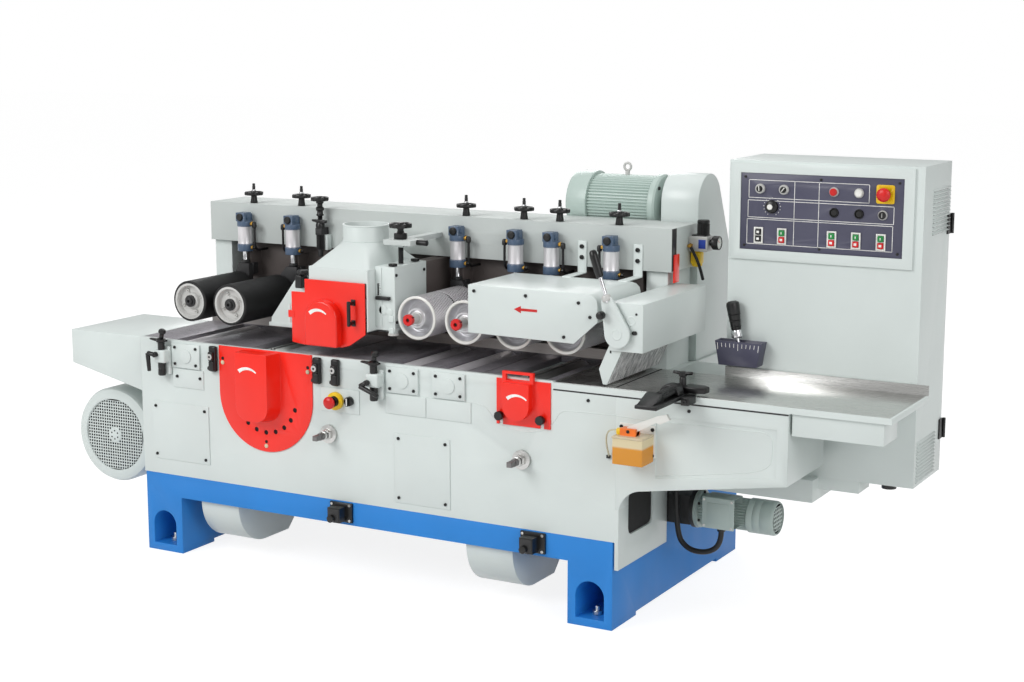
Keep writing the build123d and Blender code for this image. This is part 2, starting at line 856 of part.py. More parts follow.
# Drive housing with the carriage guides and the column of the upper head
guide_bottom = pad_top - carriage_pad_height - 20
rib_width = 22.0
with BuildPart() as drive_housing:
    block(-housing_half, housing_half, housing_front, housing_back, deck_top, beam_bottom)
    block(
        -housing_half + housing_wall, housing_half - housing_wall, housing_front + housing_wall,
        housing_back - housing_wall, deck_top, beam_bottom - housing_wall, Mode.SUBTRACT,
    )
    for x in cylinder_x:
        block(
            x - guide_width / 2, x + guide_width / 2, carriage_back + slide_gap, housing_front,
            guide_bottom, cap_bottom - run_gap,
        )
    block(
        slide_left + 12, slide_right - 10, slide_back + slide_gap, housing_front,
        slide_bottom - 30, beam_bottom - 4,
    )
    block(
        slide_x - rib_width / 2, slide_x + rib_width / 2, slide_back - 20, slide_back + slide_gap,
        slide_bottom - 30, beam_bottom - 4,
    )
drive_housing.part.label = "drive_housing"
export_step(drive_housing.part, "parts/drive_housing.step")

# Air cylinders hung on the beam front
with BuildPart() as cylinder_barrels:
    for x in cylinder_x:
        bar_z(x, cylinder_depth, cylinder_cap_radius, cap_bottom, barrel_bottom)
        bar_z(x, cylinder_depth, cylinder_radius, barrel_bottom, barrel_top)
        bar_z(x, cylinder_depth, cylinder_cap_radius, barrel_top, clevis_bottom)
        clevis_front = cylinder_depth - cylinder_cap_radius + 5
        clevis_back = clevis_front + clevis_length
        block(
            x - 4 - clevis_width / 2, x - 4 + clevis_width / 2, clevis_front, clevis_back,
            clevis_bottom, clevis_bottom + clevis_height,
        )
        block(x - 14, x + 8, clevis_back, beam_front, clevis_bottom, clevis_bottom + clevis_height - 6)
        bar_y(
            x - 4, clevis_bottom + clevis_height / 2, clevis_pin_radius,
            clevis_front - 7, clevis_front,
        )
        bar_z(
            x, cylinder_depth, piston_radius + bore_gap,
            barrel_bottom - 4, barrel_top - 2, Mode.SUBTRACT,
        )
        bar_z(
            x, cylinder_depth, rod_radius + bore_gap,
            cap_bottom, barrel_bottom, Mode.SUBTRACT,
        )
cylinder_barrels.part.label = "cylinder_barrels"
export_step(cylinder_barrels.part, "parts/cylinder_barrels.step")

# Roller carriages: rod, piston, pad, bearing boss and guide cheeks
piston_bottom = barrel_bottom + 4
for number, (roller_x, rod_x) in enumerate(zip(feed_roller_x, cylinder_x), 1):
    steel = number > rubber_count
    roller_z = bed_top + roller_rise + (steel_roller_lift if steel else 0)
    with BuildPart() as roller_carriage:
        with BuildSketch(front_plane(carriage_front)) as carriage_outline:
            with Locations((roller_x, roller_z)):
                Circle(carriage_boss)
            with Locations((rod_x, pad_top - carriage_pad_height / 2)):
                Rectangle(carriage_pad, carriage_pad_height)
            make_hull()
        extrude(carriage_outline.sketch, amount=-carriage_thickness)
        for side in (-1, 1):
            cheek_x = rod_x + side * (guide_width / 2 + slide_gap + cheek_width / 2)
            block(
                cheek_x - cheek_width / 2, cheek_x + cheek_width / 2, carriage_back,
                carriage_back + cheek_depth, pad_top - carriage_pad_height - 8, pad_top,
            )
            block(
                cheek_x - cheek_width / 2, cheek_x + cheek_width / 2, carriage_back - 4,
                carriage_back, pad_top - carriage_pad_height - 8, pad_top,
            )
        bar_z(rod_x, cylinder_depth, 11, pad_top, pad_top + 8)
        bar_z(rod_x, cylinder_depth, rod_radius, pad_top, piston_bottom + 1)
        bar_z(rod_x, cylinder_depth, piston_radius, piston_bottom, piston_bottom + piston_height)
        bar_y(
            roller_x, roller_z, roller_shaft_radius + bore_gap,
            carriage_front, carriage_front + roller_shaft_length - run_gap, Mode.SUBTRACT,
        )
    roller_carriage.part.label = f"roller_carriage_{number}"
    export_step(roller_carriage.part, f"parts/roller_carriage_{number}.step")

    # Feed roller carried by this carriage
    with BuildPart() as feed_roller:
        if steel:
            bar_y(roller_x, roller_z, roller_radius, roller_front, roller_back)
            bar_y(
                roller_x, roller_z, roller_radius - 9,
                roller_front, roller_front + roller_recess, Mode.SUBTRACT,
            )
            with BuildSketch(Plane.YZ.offset(roller_x)) as groove:
                with Locations((y_at(roller_front + roller_length * 0.5), roller_z + roller_radius)):
                    Rectangle(7, 5)
            revolve(
                groove.sketch, axis=Axis((roller_x, 0, roller_z), (0, 1, 0)), mode=Mode.SUBTRACT,
            )
            bar_y(roller_x, roller_z, 26, roller_front + 4, roller_front + roller_recess)
            bar_y(roller_x, roller_z, stub_radius, roller_front - stub_length, roller_front + roller_recess)
            bar_y(
                roller_x, roller_z, cap_radius,
                roller_front - stub_length - 8, roller_front - stub_length - 8 + cap_length,
            )
        else:
            bar_y(roller_x, roller_z, roller_radius, roller_front, roller_back)
            bar_y(
                roller_x, roller_z, roller_radius - sleeve_thickness,
                roller_front, roller_front + roller_recess, Mode.SUBTRACT,
            )
            bar_y(roller_x, roller_z, 20, roller_front + 2, roller_front + roller_recess)
            bar_y(roller_x, roller_z, 13, roller_front - 8, roller_front + roller_recess)
        bar_y(roller_x, roller_z, roller_shaft_radius, roller_back, roller_back + roller_shaft_length)
    feed_roller.part.label = f"feed_roller_{number}"
    export_step(feed_roller.part, f"parts/feed_roller_{number}.step")

    # Stop handwheel on the beam above
    with BuildPart() as stop_handwheel:
        bar_z(rod_x, wheel_depth, wheel_screw_radius, beam_top - beam_wall - 12, beam_top)
        bar_z(rod_x, wheel_depth, wheel_hub_radius, beam_top, beam_top + wheel_hub_height)
        rim_z = beam_top + wheel_hub_height + wheel_rim
        bar_z(rod_x, wheel_depth, wheel_radius, rim_z - wheel_rim, rim_z + wheel_rim)
        bar_z(rod_x, wheel_depth, 5, rim_z + wheel_rim, rim_z + wheel_rim + wheel_stub_height)
        fillet(stop_handwheel.edges().filter_by(GeomType.CIRCLE).filter_by(
            lambda edge: abs(edge.radius - wheel_radius) < 0.01), wheel_rim * 0.8)
    stop_handwheel.part.label = f"stop_handwheel_{number}"
    export_step(stop_handwheel.part, f"parts/stop_handwheel_{number}.step")

# Air lines: an elbow and a hose at each cylinder, and the regulator on the beam end
regulator_x = beam_half + 30
regulator_depth = beam_back - 47
regulator_z = beam_bottom + 77
with BuildPart() as air_lines:
    for place, x in enumerate(cylinder_x):
        side = 1 if place % 2 == 0 else -1
        hose_x = x + side * (cylinder_cap_radius + elbow_size + 2)
        elbow_ends = sorted([x + side * (cylinder_cap_radius - 5), hose_x + side * elbow_size / 2])
        elbow_z = (barrel_top + clevis_bottom) / 2
        block(
            elbow_ends[0], elbow_ends[1], cylinder_depth - 6, cylinder_depth + 6,
            elbow_z - 6, elbow_z + 6,
        )
        bar_z(x, cylinder_depth, cylinder_cap_radius, barrel_top, clevis_bottom, Mode.SUBTRACT)
        hose_end_z = pad_top + press_travel + 16
        with BuildLine() as hose_path:
            FilletPolyline(
                (hose_x, y_at(cylinder_depth), elbow_z - 6),
                (hose_x, y_at(cylinder_depth), hose_end_z),
                (hose_x, y_at(housing_front), hose_end_z),
                radius=26,
            )
        with BuildSketch(Plane(origin=hose_path.line @ 0, z_dir=hose_path.line % 0)) as hose_section:
            Circle(hose_radius)
        sweep(hose_section.sketch, path=hose_path.line)
    block(
        beam_half, regulator_x + 34, regulator_depth - 24, regulator_depth + 24,
        regulator_z - 24, regulator_z + 24,
    )
    bar_z(regulator_x + 10, regulator_depth, 20, regulator_z + 24, regulator_z + 74)
    bar_z(regulator_x - 10, regulator_depth, 17, regulator_z - 74, regulator_z - 24)
    bar_x(regulator_depth, regulator_z + 4, 10, regulator_x + 34, regulator_x + 44)
    bar_x(regulator_depth, regulator_z + 4, 22, regulator_x + 44, regulator_x + 66)
air_lines.part.label = "air_lines"
export_step(air_lines.part, "parts/air_lines.step")

# Upper head: dust hood with port, slide block and pressure shoe, moving together
spigot_bottom = hood_top - port_height
with BuildPart() as dust_hood:
    block(hood_left, hood_right, hood_front, hood_back, hood_bottom, hood_shoulder_top)
    with BuildSketch(Plane.XY.offset(hood_shoulder_top)) as cone_foot:
        with Locations((upper_head_x, y_at((hood_front + hood_back) / 2))):
            RectangleRounded(hood_width - 2, hood_back - hood_front - 2, 20)
    with BuildSketch(Plane.XY.offset(spigot_bottom)) as cone_head:
        with Locations((upper_head_x, y_at(port_depth))):
            Circle(port_radius)
    loft([cone_foot.sketch.face(), cone_head.sketch.face()])
    bar_z(upper_head_x, port_depth, port_radius, spigot_bottom, hood_top)
    block(
        hood_left + hood_wall, hood_right - hood_wall, hood_front, hood_back - hood_wall,
        hood_bottom, hood_box_top - 1, Mode.SUBTRACT,
    )
    block(
        hood_left + 2 * hood_wall, hood_right - 2 * hood_wall, hood_front + 2 * hood_wall,
        hood_back - 2 * hood_wall, hood_box_top - 1, hood_shoulder_top - 1, Mode.SUBTRACT,
    )
    with BuildSketch(Plane.XY.offset(hood_shoulder_top - 1)) as cone_foot_inside:
        with Locations((upper_head_x, y_at((hood_front + hood_back) / 2))):
            RectangleRounded(
                hood_width - 2 - 4 * hood_wall, hood_back - hood_front - 2 - 4 * hood_wall, 18,
            )
    with BuildSketch(Plane.XY.offset(spigot_bottom)) as cone_head_inside:
        with Locations((upper_head_x, y_at(port_depth))):
            Circle(port_radius - port_wall)
    loft([cone_foot_inside.sketch.face(), cone_head_inside.sketch.face()], mode=Mode.SUBTRACT)
    bar_z(
        upper_head_x, port_depth, port_radius - port_wall,
        spigot_bottom, hood_top, Mode.SUBTRACT,
    )
    front_shape(
        [
            (upper_head_x + 50, hood_bottom),
            (hood_right, hood_bottom),
            (hood_right, hood_bottom + 60),
        ],
        hood_front, hood_back, Mode.SUBTRACT,
    )
    block(slide_left, slide_right, slide_front, slide_back, slide_bottom, slide_top)
    block(
        slide_x - rib_width / 2 - slide_gap, slide_x + rib_width / 2 + slide_gap,
        slide_back - 20 - slide_gap, slide_back, slide_bottom, slide_top, Mode.SUBTRACT,
    )
    bar_z(
        slide_x, slide_depth, head_screw_radius + slide_gap,
        slide_top - 2 * head_travel, slide_top, Mode.SUBTRACT,
    )
    shoe_bottom = hood_bottom + shoe_rise
    shoe_top = shoe_bottom + shoe_thickness
    front_shape(
        [
            (hood_left, shoe_bottom),
            (hood_left - shoe_length, shoe_bottom),
            (hood_left - shoe_length, shoe_top),
            (hood_left, shoe_top),
        ],
        shoe_front, hood_back - 10,
    )
    front_shape(
        [
            (hood_left, shoe_top),
            (hood_left - shoe_length + 8, shoe_top),
            (hood_left - shoe_length + 10, shoe_top + 17),
            (hood_left - shoe_length / 2, hood_bottom + 202),
            (hood_left, hood_bottom + 202),
        ],
        shoe_front + 2, shoe_front + 12,
    )
    block(hinge_x + 7, hood_left, hood_front, hood_front + hood_wall, hood_bottom + 20, hood_bottom + 170)
    bar_y(
        upper_head_x, upper_cutter_z, spindle_radius + 18,
        hood_back - hood_wall, hood_back + 22,
    )
    bar_y(
        upper_head_x, upper_cutter_z, spindle_radius + bore_gap,
        hood_back - hood_wall, hood_back + 22, Mode.SUBTRACT,
    )
    hinge_z = hood_bottom + 95
    hinge_depth = hood_front - door_gap - door_thickness / 2
    for z in (hinge_z - 30, hinge_z + 12):
        bar_z(hinge_x, hinge_depth, hinge_radius, z, z + 18)
        block(hinge_x, hinge_x + 8, hinge_depth, hood_front + hood_wall, z, z + 18)
        bar_z(hinge_x, hinge_depth, hinge_pin_radius + bore_gap, z, z + 18, Mode.SUBTRACT)
dust_hood.part.label = "dust_hood"
export_step(dust_hood.part, "parts/dust_hood.step")

# Red hood door with dome, handle and hinge knuckle
door_back = hood_front - door_gap
door_front = door_back - door_thickness
door_left = hinge_x + 9
with BuildPart() as hood_door:
    front_shape(
        [
            (door_left, hood_bottom + 3),
            (hood_left - 18, hood_bottom - 3),
            (upper_head_x + 16, hood_bottom),
            (upper_head_x + 44, hood_bottom + 8),
            (hood_right - 8, hood_bottom + 48),
            (hood_right - 8, hood_box_top),
            (hood_left - 14, hood_box_top),
            (hood_left - 14, hood_bottom + 168),
            (door_left, hood_bottom + 168),
        ],
        door_front, door_back,
    )
    dome_x = upper_head_x - 44
    dome_z = hood_bottom + 89
    bar_y(dome_x, dome_z, dome_radius, door_front - dome_height, door_front)
    block(
        dome_x - dome_radius, dome_x + dome_radius, door_front - dome_height, door_front,
        hood_bottom + 3, dome_z,
    )
    handle_x = upper_head_x + 62
    for z in (hood_bottom + 84, hood_bottom + 148):
        bar_y(handle_x, z, 5, door_front - 28, door_front)
    bar_z(handle_x, door_front - 28, 6, hood_bottom + 76, hood_bottom + 156)
    bar_z(hinge_x, hinge_depth, hinge_radius, hinge_z - 12 + slide_gap, hinge_z + 12 - slide_gap)
    block(
        hinge_x, door_left + 1, hinge_depth - 2, hinge_depth + 2,
        hinge_z - 12 + slide_gap, hinge_z + 12 - slide_gap,
    )
    bar_z(hinge_x, hinge_depth, hinge_pin_radius, hinge_z - 30, hinge_z + 30)
hood_door.part.label = "hood_door"
export_step(hood_door.part, "parts/hood_door.step")

# Head handwheel with its screw
head_wheel_z = bed_top + head_wheel_rise
with BuildPart() as head_handwheel:
    bar_z(
        slide_x, slide_depth, head_screw_radius,
        slide_top - 40, head_wheel_z,
    )
    bar_z(
        slide_x, slide_depth, 16,
        screw_plate_z + screw_plate_thickness, head_wheel_z,
    )
    bar_z(slide_x, slide_depth, head_wheel_radius, head_wheel_z, head_wheel_z + 14)
    fillet(head_handwheel.edges().filter_by(GeomType.CIRCLE).filter_by(
        lambda edge: abs(edge.radius - head_wheel_radius) < 0.01), 6)
head_handwheel.part.label = "head_handwheel"
export_step(head_handwheel.part, "parts/head_handwheel.step")

# Upper cutterhead
with BuildPart() as upper_cutterhead:
    cutter(
        upper_head_x, upper_cutter_z, cutter_radius,
        hood_front + 24, hood_back - hood_wall - run_gap, hood_back + 40,
    )
upper_cutterhead.part.label = "upper_cutterhead"
export_step(upper_cutterhead.part, "parts/upper_cutterhead.step")

# Roller cover: folded sheet hung on two straps
with BuildPart() as roller_cover:
    cover_outline = [
        (cover_left, cover_bottom),
        (cover_left, cover_top),
        (cover_right - 30, cover_top),
        (cover_right - 15, cover_top - 4),
        (cover_right - 4, cover_top - 14),
        (cover_right, cover_top - 28),
        (cover_right, cover_bottom + 66),
        (cover_right - 78, cover_bottom - 4),
    ]
    front_shape(cover_outline, cover_front, cover_back)
    front_shape(
        [
            (cover_left, cover_bottom - 60),
            (cover_left, cover_top - cover_sheet),
            (cover_right - 32, cover_top - cover_sheet),
            (cover_right - 8, cover_top - 16),
            (cover_right - cover_sheet, cover_top - 30),
            (cover_right - cover_sheet, cover_bottom - 60),
        ],
        cover_front + cover_sheet, cover_back, Mode.SUBTRACT,
    )
    for x in strap_x:
        block(
            x - strap_width / 2, x + strap_width / 2, beam_front - strap_sheet, beam_front,
            cover_top, beam_bottom + 82,
        )
        block(
            x - strap_width / 2, x + strap_width / 2, cover_back - 20, beam_front,
            cover_top, cover_top + strap_sheet,
        )
roller_cover.part.label = "roller_cover"
export_step(roller_cover.part, "parts/roller_cover.step")

# Infeed hood, open below and along its lower left side
with BuildPart() as infeed_hood:
    block(
        infeed_hood_left, infeed_hood_right, infeed_hood_front, infeed_hood_back,
        infeed_hood_bottom, infeed_hood_top,
    )
    block(
        infeed_hood_left + infeed_hood_sheet, infeed_hood_right - infeed_hood_sheet,
        infeed_hood_front + infeed_hood_sheet, infeed_hood_back - infeed_hood_sheet,
        infeed_hood_bottom, infeed_hood_top - infeed_hood_sheet, Mode.SUBTRACT,
    )
    block(
        infeed_hood_left, infeed_hood_left + infeed_hood_sheet,
        infeed_hood_front + infeed_hood_sheet, column_front - 6,
        infeed_hood_bottom, lever_z + 40, Mode.SUBTRACT,
    )
    bar_y(
        lever_x, lever_z, lever_shaft_radius + bore_gap,
        infeed_hood_front, infeed_hood_back, Mode.SUBTRACT,
    )
infeed_hood.part.label = "infeed_hood"
export_step(infeed_hood.part, "parts/infeed_hood.step")

# Infeed lever with shaft, plunger and grip
lever_front = infeed_hood_front - 8 - lever_plate
lever_tip_x = lever_x - 32
lever_tip_z = lever_z + 92
with BuildPart() as infeed_lever:
    with BuildSketch(front_plane(lever_front)) as lever_outline:
        with Locations((lever_x, lever_z)):
            Circle(40)
        with Locations((lever_tip_x, lever_tip_z)):
            Circle(19)
        make_hull()
    extrude(lever_outline.sketch, amount=-lever_plate)
    bar_y(lever_x, lever_z, 22, lever_front + lever_plate, infeed_hood_front - slide_gap)
    bar_y(lever_x, lever_z, lever_shaft_radius, lever_front + lever_plate, infeed_hood_back)
    lever_mid = lever_front + lever_plate / 2
    lever_direction = (lever_tip_x - lever_x, 0, lever_tip_z - lever_z)
    with BuildSketch(
        Plane(origin=(lever_tip_x, y_at(lever_mid), lever_tip_z), z_dir=lever_direction)
    ) as lever_rod:
        Circle(6)
    extrude(lever_rod.sketch, amount=76)
    with BuildSketch(
        Plane(origin=(lever_tip_x, y_at(lever_mid), lever_tip_z), z_dir=lever_direction).offset(76)
    ) as lever_grip:
        Circle(13)
    extrude(lever_grip.sketch, amount=82)
    bar_y(lever_x - 43, lever_z + 56, 5, lever_front - 10, lever_front + lever_plate)
    bar_y(lever_x - 43, lever_z + 56, 12, lever_front - 30, lever_front - 10)
infeed_lever.part.label = "infeed_lever"
export_step(infeed_lever.part, "parts/infeed_lever.step")

# Kick-back fingers on a hub around the lever shaft
finger_span = infeed_hood_back - infeed_hood_front - 4 * infeed_hood_sheet - 60
finger_first = infeed_hood_front + 2 * infeed_hood_sheet
finger_pitch = finger_span / finger_count
with BuildPart() as kickback_fingers:
    bar_y(lever_x, lever_z, finger_hub_radius, finger_first, finger_first + finger_span)
    for index in range(finger_count):
        finger_depth = finger_first + index * finger_pitch
        front_shape(
            [
                (lever_x - finger_hub_radius + 1, lever_z),
                (lever_x + finger_hub_radius - 1, lever_z),
                (lever_x - 2, lever_z - 66),
                (lever_x - 44, lever_z - finger_length),
                (lever_x - 57, lever_z - finger_length),
                (lever_x - 70, lever_z - 112),
                (lever_x - 48, lever_z - 61),
            ],
            finger_depth, finger_depth + finger_thickness,
        )
    bar_y(
        lever_x, lever_z, lever_shaft_radius + bore_gap,
        finger_first, finger_first + finger_span, Mode.SUBTRACT,
    )
kickback_fingers.part.label = "kickback_fingers"
export_step(kickback_fingers.part, "parts/kickback_fingers.step")

# D-shaped guard of the second lower head
rip_guard_centre_z = bed_top - rip_guard_straight
bulge_x = rip_head_x + bulge_offset
bulge_bottom = bed_top - 4 - bulge_height
bulge_middle = bulge_bottom + (bulge_height + bulge_radius) / 2
with BuildPart() as rip_guard:
    block(rip_guard_left, rip_guard_right, -guard_plate, 0, rip_guard_centre_z, bed_top)
    bar_y(rip_head_x, rip_guard_centre_z, rip_guard_width / 2, -guard_plate, 0)
    with BuildSketch(front_plane(-guard_plate - bulge_depth)) as bulge_face:
        with Locations((bulge_x, bulge_middle)):
            RectangleRounded(bulge_width, bulge_height + bulge_radius, bulge_radius)
    with BuildSketch(front_plane(-guard_plate)) as bulge_foot:
        with Locations((bulge_x, bulge_middle)):
            RectangleRounded(bulge_width + 20, bulge_height + bulge_radius + 20, bulge_radius + 10)
    loft([bulge_face.sketch.face(), bulge_foot.sketch.face()])
    block(
        rip_guard_left, rip_guard_right, -guard_plate - bulge_depth, -guard_plate,
        bed_top - 4, bed_top + rip_guard_width, Mode.SUBTRACT,
    )
    block(
        rip_guard_left, rip_guard_right, -guard_plate, 0, bed_top, bed_top + rip_guard_width, Mode.SUBTRACT,
    )
    for turn in range(7):
        angle = math.radians(-127 + turn * 18.3)
        hole_x = rip_head_x + guard_hole_ring * math.cos(angle)
        hole_z = rip_guard_centre_z + guard_hole_ring * math.sin(angle)
        bar_y(hole_x, hole_z, 8, -guard_plate, 0, Mode.SUBTRACT)
rip_guard.part.label = "rip_guard"
export_step(rip_guard.part, "parts/rip_guard.step")

# Small lift-off cover of the first lower head, with open slots for its two knobs
cover_x = lower_head_x
cover_half = head_cover_width / 2
head_cover_top = bed_top - 6
head_cover_bottom = head_cover_top - head_cover_height
knob_x = (cover_x - cover_half + 16, cover_x + cover_half - 28)
knob_z = head_cover_bottom + 28
with BuildPart() as infeed_head_cover:
    block(cover_x - cover_half, cover_x + cover_half, -guard_plate, 0, head_cover_bottom, head_cover_top)
    for x in knob_x:
        block(
            x - head_cover_slot / 2, x + head_cover_slot / 2, -guard_plate, 0,
            head_cover_bottom, knob_z, Mode.SUBTRACT,
        )
        bar_y(x, knob_z, head_cover_slot / 2, -guard_plate, 0, Mode.SUBTRACT)
    with BuildSketch(front_plane(-guard_plate)) as cover_bulge:
        with Locations((cover_x - 14, head_cover_top - 8 - 38)):
            Rectangle(92, 76)
        with Locations((cover_x - 14, head_cover_top - 8 - 68)):
            Circle(46)
    extrude(cover_bulge.sketch, amount=26)
    loop_left = cover_x - 66
    loop_right = cover_x + 40
    block(loop_left, loop_right, -16, -guard_plate, head_cover_top - 8, head_cover_top + 26)
    block(
        loop_left + 12, loop_right - 12, -16, -guard_plate, head_cover_top - 2, head_cover_top + 18,
        Mode.SUBTRACT,
    )
infeed_head_cover.part.label = "infeed_head_cover"
export_step(infeed_head_cover.part, "parts/infeed_head_cover.step")

# Control cabinet with the raised frame round the panel and its black foot
with BuildPart() as control_cabinet:
    block(cabinet_left, cabinet_right, cabinet_front, cabinet_back, arm_top, cabinet_top)
    block(
        cabinet_left + cabinet_wall, cabinet_right - cabinet_wall, cabinet_front + cabinet_wall,
        cabinet_back, arm_top + cabinet_wall, cabinet_top - cabinet_wall, Mode.SUBTRACT,
    )
    block(
        frame_left, frame_right, cabinet_front - frame_thickness, cabinet_front,
        frame_bottom, frame_top,
    )
    block(
        frame_left + frame_border, frame_right - frame_border, cabinet_front - frame_thickness, cabinet_front,
        frame_bottom + frame_border, frame_top - frame_border, Mode.SUBTRACT,
    )
    for x in button_columns:
        for z in (start_button_z, stop_button_z):
            bar_y(
                x, z, button_radius + slide_gap,
                cabinet_front, cabinet_front + cabinet_wall, Mode.SUBTRACT,
            )
    bar_y(
        estop_x, lamp_row_z, button_radius + slide_gap,
        cabinet_front, cabinet_front + cabinet_wall, Mode.SUBTRACT,
    )
    bar_z(cabinet_right - 90, cabinet_front + 60, 22, arm_top - 22, arm_top)
    for z in cabinet_hinge_z:
        knuckle_top = z + cabinet_hinge_step
        block(
            cabinet_right, cabinet_right + 5, cabinet_back - 30, cabinet_back - 2,
            z, z + cabinet_hinge_height,
        )
        bar_z(cabinet_right + 7, cabinet_back + 6, hinge_radius, z, knuckle_top)
        block(cabinet_right, cabinet_right + 5, cabinet_back - 4, cabinet_back + 6, z, knuckle_top)
        bar_z(
            cabinet_right + 7, cabinet_back + 6, hinge_pin_radius + bore_gap, z, knuckle_top, Mode.SUBTRACT,
        )
control_cabinet.part.label = "control_cabinet"
export_step(control_cabinet.part, "parts/control_cabinet.step")

# Rear door of the cabinet
with BuildPart() as cabinet_door:
    block(
        cabinet_left, cabinet_right - 6, cabinet_back + slide_gap, cabinet_back + slide_gap + door_sheet,
        arm_top, cabinet_top,
    )
    for z in cabinet_hinge_z:
        knuckle_bottom = z + cabinet_hinge_step + slide_gap
        knuckle_top = z + cabinet_hinge_height
        bar_z(cabinet_right + 7, cabinet_back + 6, hinge_radius, knuckle_bottom, knuckle_top)
        block(
            cabinet_right - 8, cabinet_right + 7, cabinet_back + 2, cabinet_back + slide_gap + door_sheet,
            knuckle_bottom, knuckle_top,
        )
        bar_z(cabinet_right + 7, cabinet_back + 6, hinge_pin_radius, z, knuckle_top)
    block(
        cabinet_left + 30, cabinet_left + 46, cabinet_back + slide_gap + door_sheet,
        cabinet_back + slide_gap + door_sheet + 26, arm_top + 400, arm_top + 520,
    )
cabinet_door.part.label = "cabinet_door"
export_step(cabinet_door.part, "parts/cabinet_door.step")

# Control panel with switches, and the quadrant of the depth lever
panel_left = frame_left + frame_border + slide_gap
panel_right = frame_right - frame_border - slide_gap
panel_bottom = frame_bottom + frame_border + slide_gap
panel_top = frame_top - frame_border - slide_gap
panel_front = cabinet_front - panel_thickness
quadrant_front = cabinet_front - quadrant_depth
with BuildPart() as control_panel:
    block(panel_left, panel_right, panel_front, cabinet_front, panel_bottom, panel_top)
    for x, z, radius in (
        (92, 212, 13), (166, 212, 13), (129, 160, 20), (318, 212, 12), (393, 212, 12),
        (320, 152, 12), (395, 152, 12), (465, 152, 13),
    ):
        bar_y(frame_left + x, frame_bottom + z, radius, panel_front - 10, panel_front)
    for x in button_columns:
        for z in (start_button_z, stop_button_z):
            bar_y(
                x, z, button_radius + slide_gap, panel_front, cabinet_front, Mode.SUBTRACT,
            )
    bar_y(
        estop_x, lamp_row_z, button_radius + slide_gap, panel_front, cabinet_front, Mode.SUBTRACT,
    )
    quadrant_outline = [
        (quadrant_x - quadrant_foot_width / 2, quadrant_bottom),
        (quadrant_x + quadrant_foot_width / 2, quadrant_bottom),
        (quadrant_x + quadrant_head_width / 2, quadrant_top),
        (quadrant_x - quadrant_head_width / 2, quadrant_top),
    ]
    front_shape(quadrant_outline, quadrant_front, cabinet_front)
    front_shape(
        [
            (quadrant_x - quadrant_foot_width / 2 + quadrant_sheet, quadrant_bottom + quadrant_sheet),
            (quadrant_x + quadrant_foot_width / 2 - quadrant_sheet, quadrant_bottom + quadrant_sheet),
            (quadrant_x + quadrant_head_width / 2 - quadrant_sheet, quadrant_top),
            (quadrant_x - quadrant_head_width / 2 + quadrant_sheet, quadrant_top),
        ],
        quadrant_front + quadrant_sheet, cabinet_front - quadrant_sheet, Mode.SUBTRACT,
    )
    bar_y(
        quadrant_x, depth_pivot_z, depth_pin_radius,
        quadrant_front + quadrant_sheet, cabinet_front - quadrant_sheet,
    )
control_panel.part.label = "control_panel"
export_step(control_panel.part, "parts/control_panel.step")

# Depth lever in the quadrant
depth_mid = cabinet_front - quadrant_depth / 2
depth_angle = math.radians(depth_lever_tilt)
depth_direction = (-math.sin(depth_angle), 0, math.cos(depth_angle))
depth_plane = Plane(origin=(quadrant_x, y_at(depth_mid), depth_pivot_z), z_dir=depth_direction)
with BuildPart() as table_lever:
    bar_y(quadrant_x, depth_pivot_z, 13, depth_mid - 6, depth_mid + 6)
    with BuildSketch(depth_plane) as lever_stem:
        Circle(5.5)
    extrude(lever_stem.sketch, amount=78)
    with BuildSketch(depth_plane.offset(64)) as lever_collar:
        Circle(17)
    extrude(lever_collar.sketch, amount=24)
    with BuildSketch(depth_plane.offset(88)) as grip_foot:
        Circle(15)
    with BuildSketch(depth_plane.offset(176)) as grip_head:
        Circle(20)
    loft([grip_foot.sketch.face(), grip_head.sketch.face()])
    bar_y(
        quadrant_x, depth_pivot_z, depth_pin_radius + bore_gap,
        depth_mid - 6, depth_mid + 6, Mode.SUBTRACT,
    )
table_lever.part.label = "table_lever"
export_step(table_lever.part, "parts/table_lever.step")

# Push buttons of the panel and the emergency stops
with BuildPart() as start_buttons:
    for x in button_columns:
        bar_y(x, start_button_z, button_radius, panel_front - 8, panel_front - 8 + button_length)
start_buttons.part.label = "start_buttons"
export_step(start_buttons.part, "parts/start_buttons.step")

with BuildPart() as stop_buttons:
    for x in button_columns:
        bar_y(x, stop_button_z, button_radius, panel_front - 8, panel_front - 8 + button_length)
    bar_y(estop_x, lamp_row_z, button_radius, panel_front - 16, panel_front - 16 + button_length + 8)
    bar_y(estop_x, lamp_row_z, mushroom_radius, panel_front - 30, panel_front - 14)
    bar_y(front_estop_x, front_estop_z, button_radius, -40, -8)
    bar_y(front_estop_x, front_estop_z, mushroom_radius, -58, -38)
stop_buttons.part.label = "stop_buttons"
export_step(stop_buttons.part, "parts/stop_buttons.step")

# Feed motor with feet and lifting eye
with BuildPart() as feed_motor:
    feed_body_left = feed_motor_left + feed_fan_length
    feed_shield_left = feed_motor_right - feed_shield_length
    bar_x(feed_motor_depth, feed_motor_z, feed_motor_radius, feed_motor_left, feed_body_left)
    bar_x(feed_motor_depth, feed_motor_z, feed_motor_radius - 9, feed_body_left, feed_shield_left)
    bar_x(feed_motor_depth, feed_motor_z, feed_motor_radius - 3, feed_shield_left, feed_motor_right)
    bar_x(feed_motor_depth, feed_motor_z, 20, feed_motor_right, guard_left)
    block(
        feed_foot_left, feed_foot_right, feed_motor_depth - feed_foot_half, feed_motor_depth + feed_foot_half,
        pedestal_top, feed_motor_z - feed_motor_radius + 30,
    )
    eye_x = feed_motor_right - eye_inset
    feed_motor_top = feed_motor_z + feed_motor_radius
    bar_z(eye_x, feed_motor_depth, 8, feed_motor_top - 14, feed_motor_top + 6)
    with Locations((eye_x, y_at(feed_motor_depth), feed_motor_top + 17)):
        Torus(12, 4, rotation=(90, 0, 0))
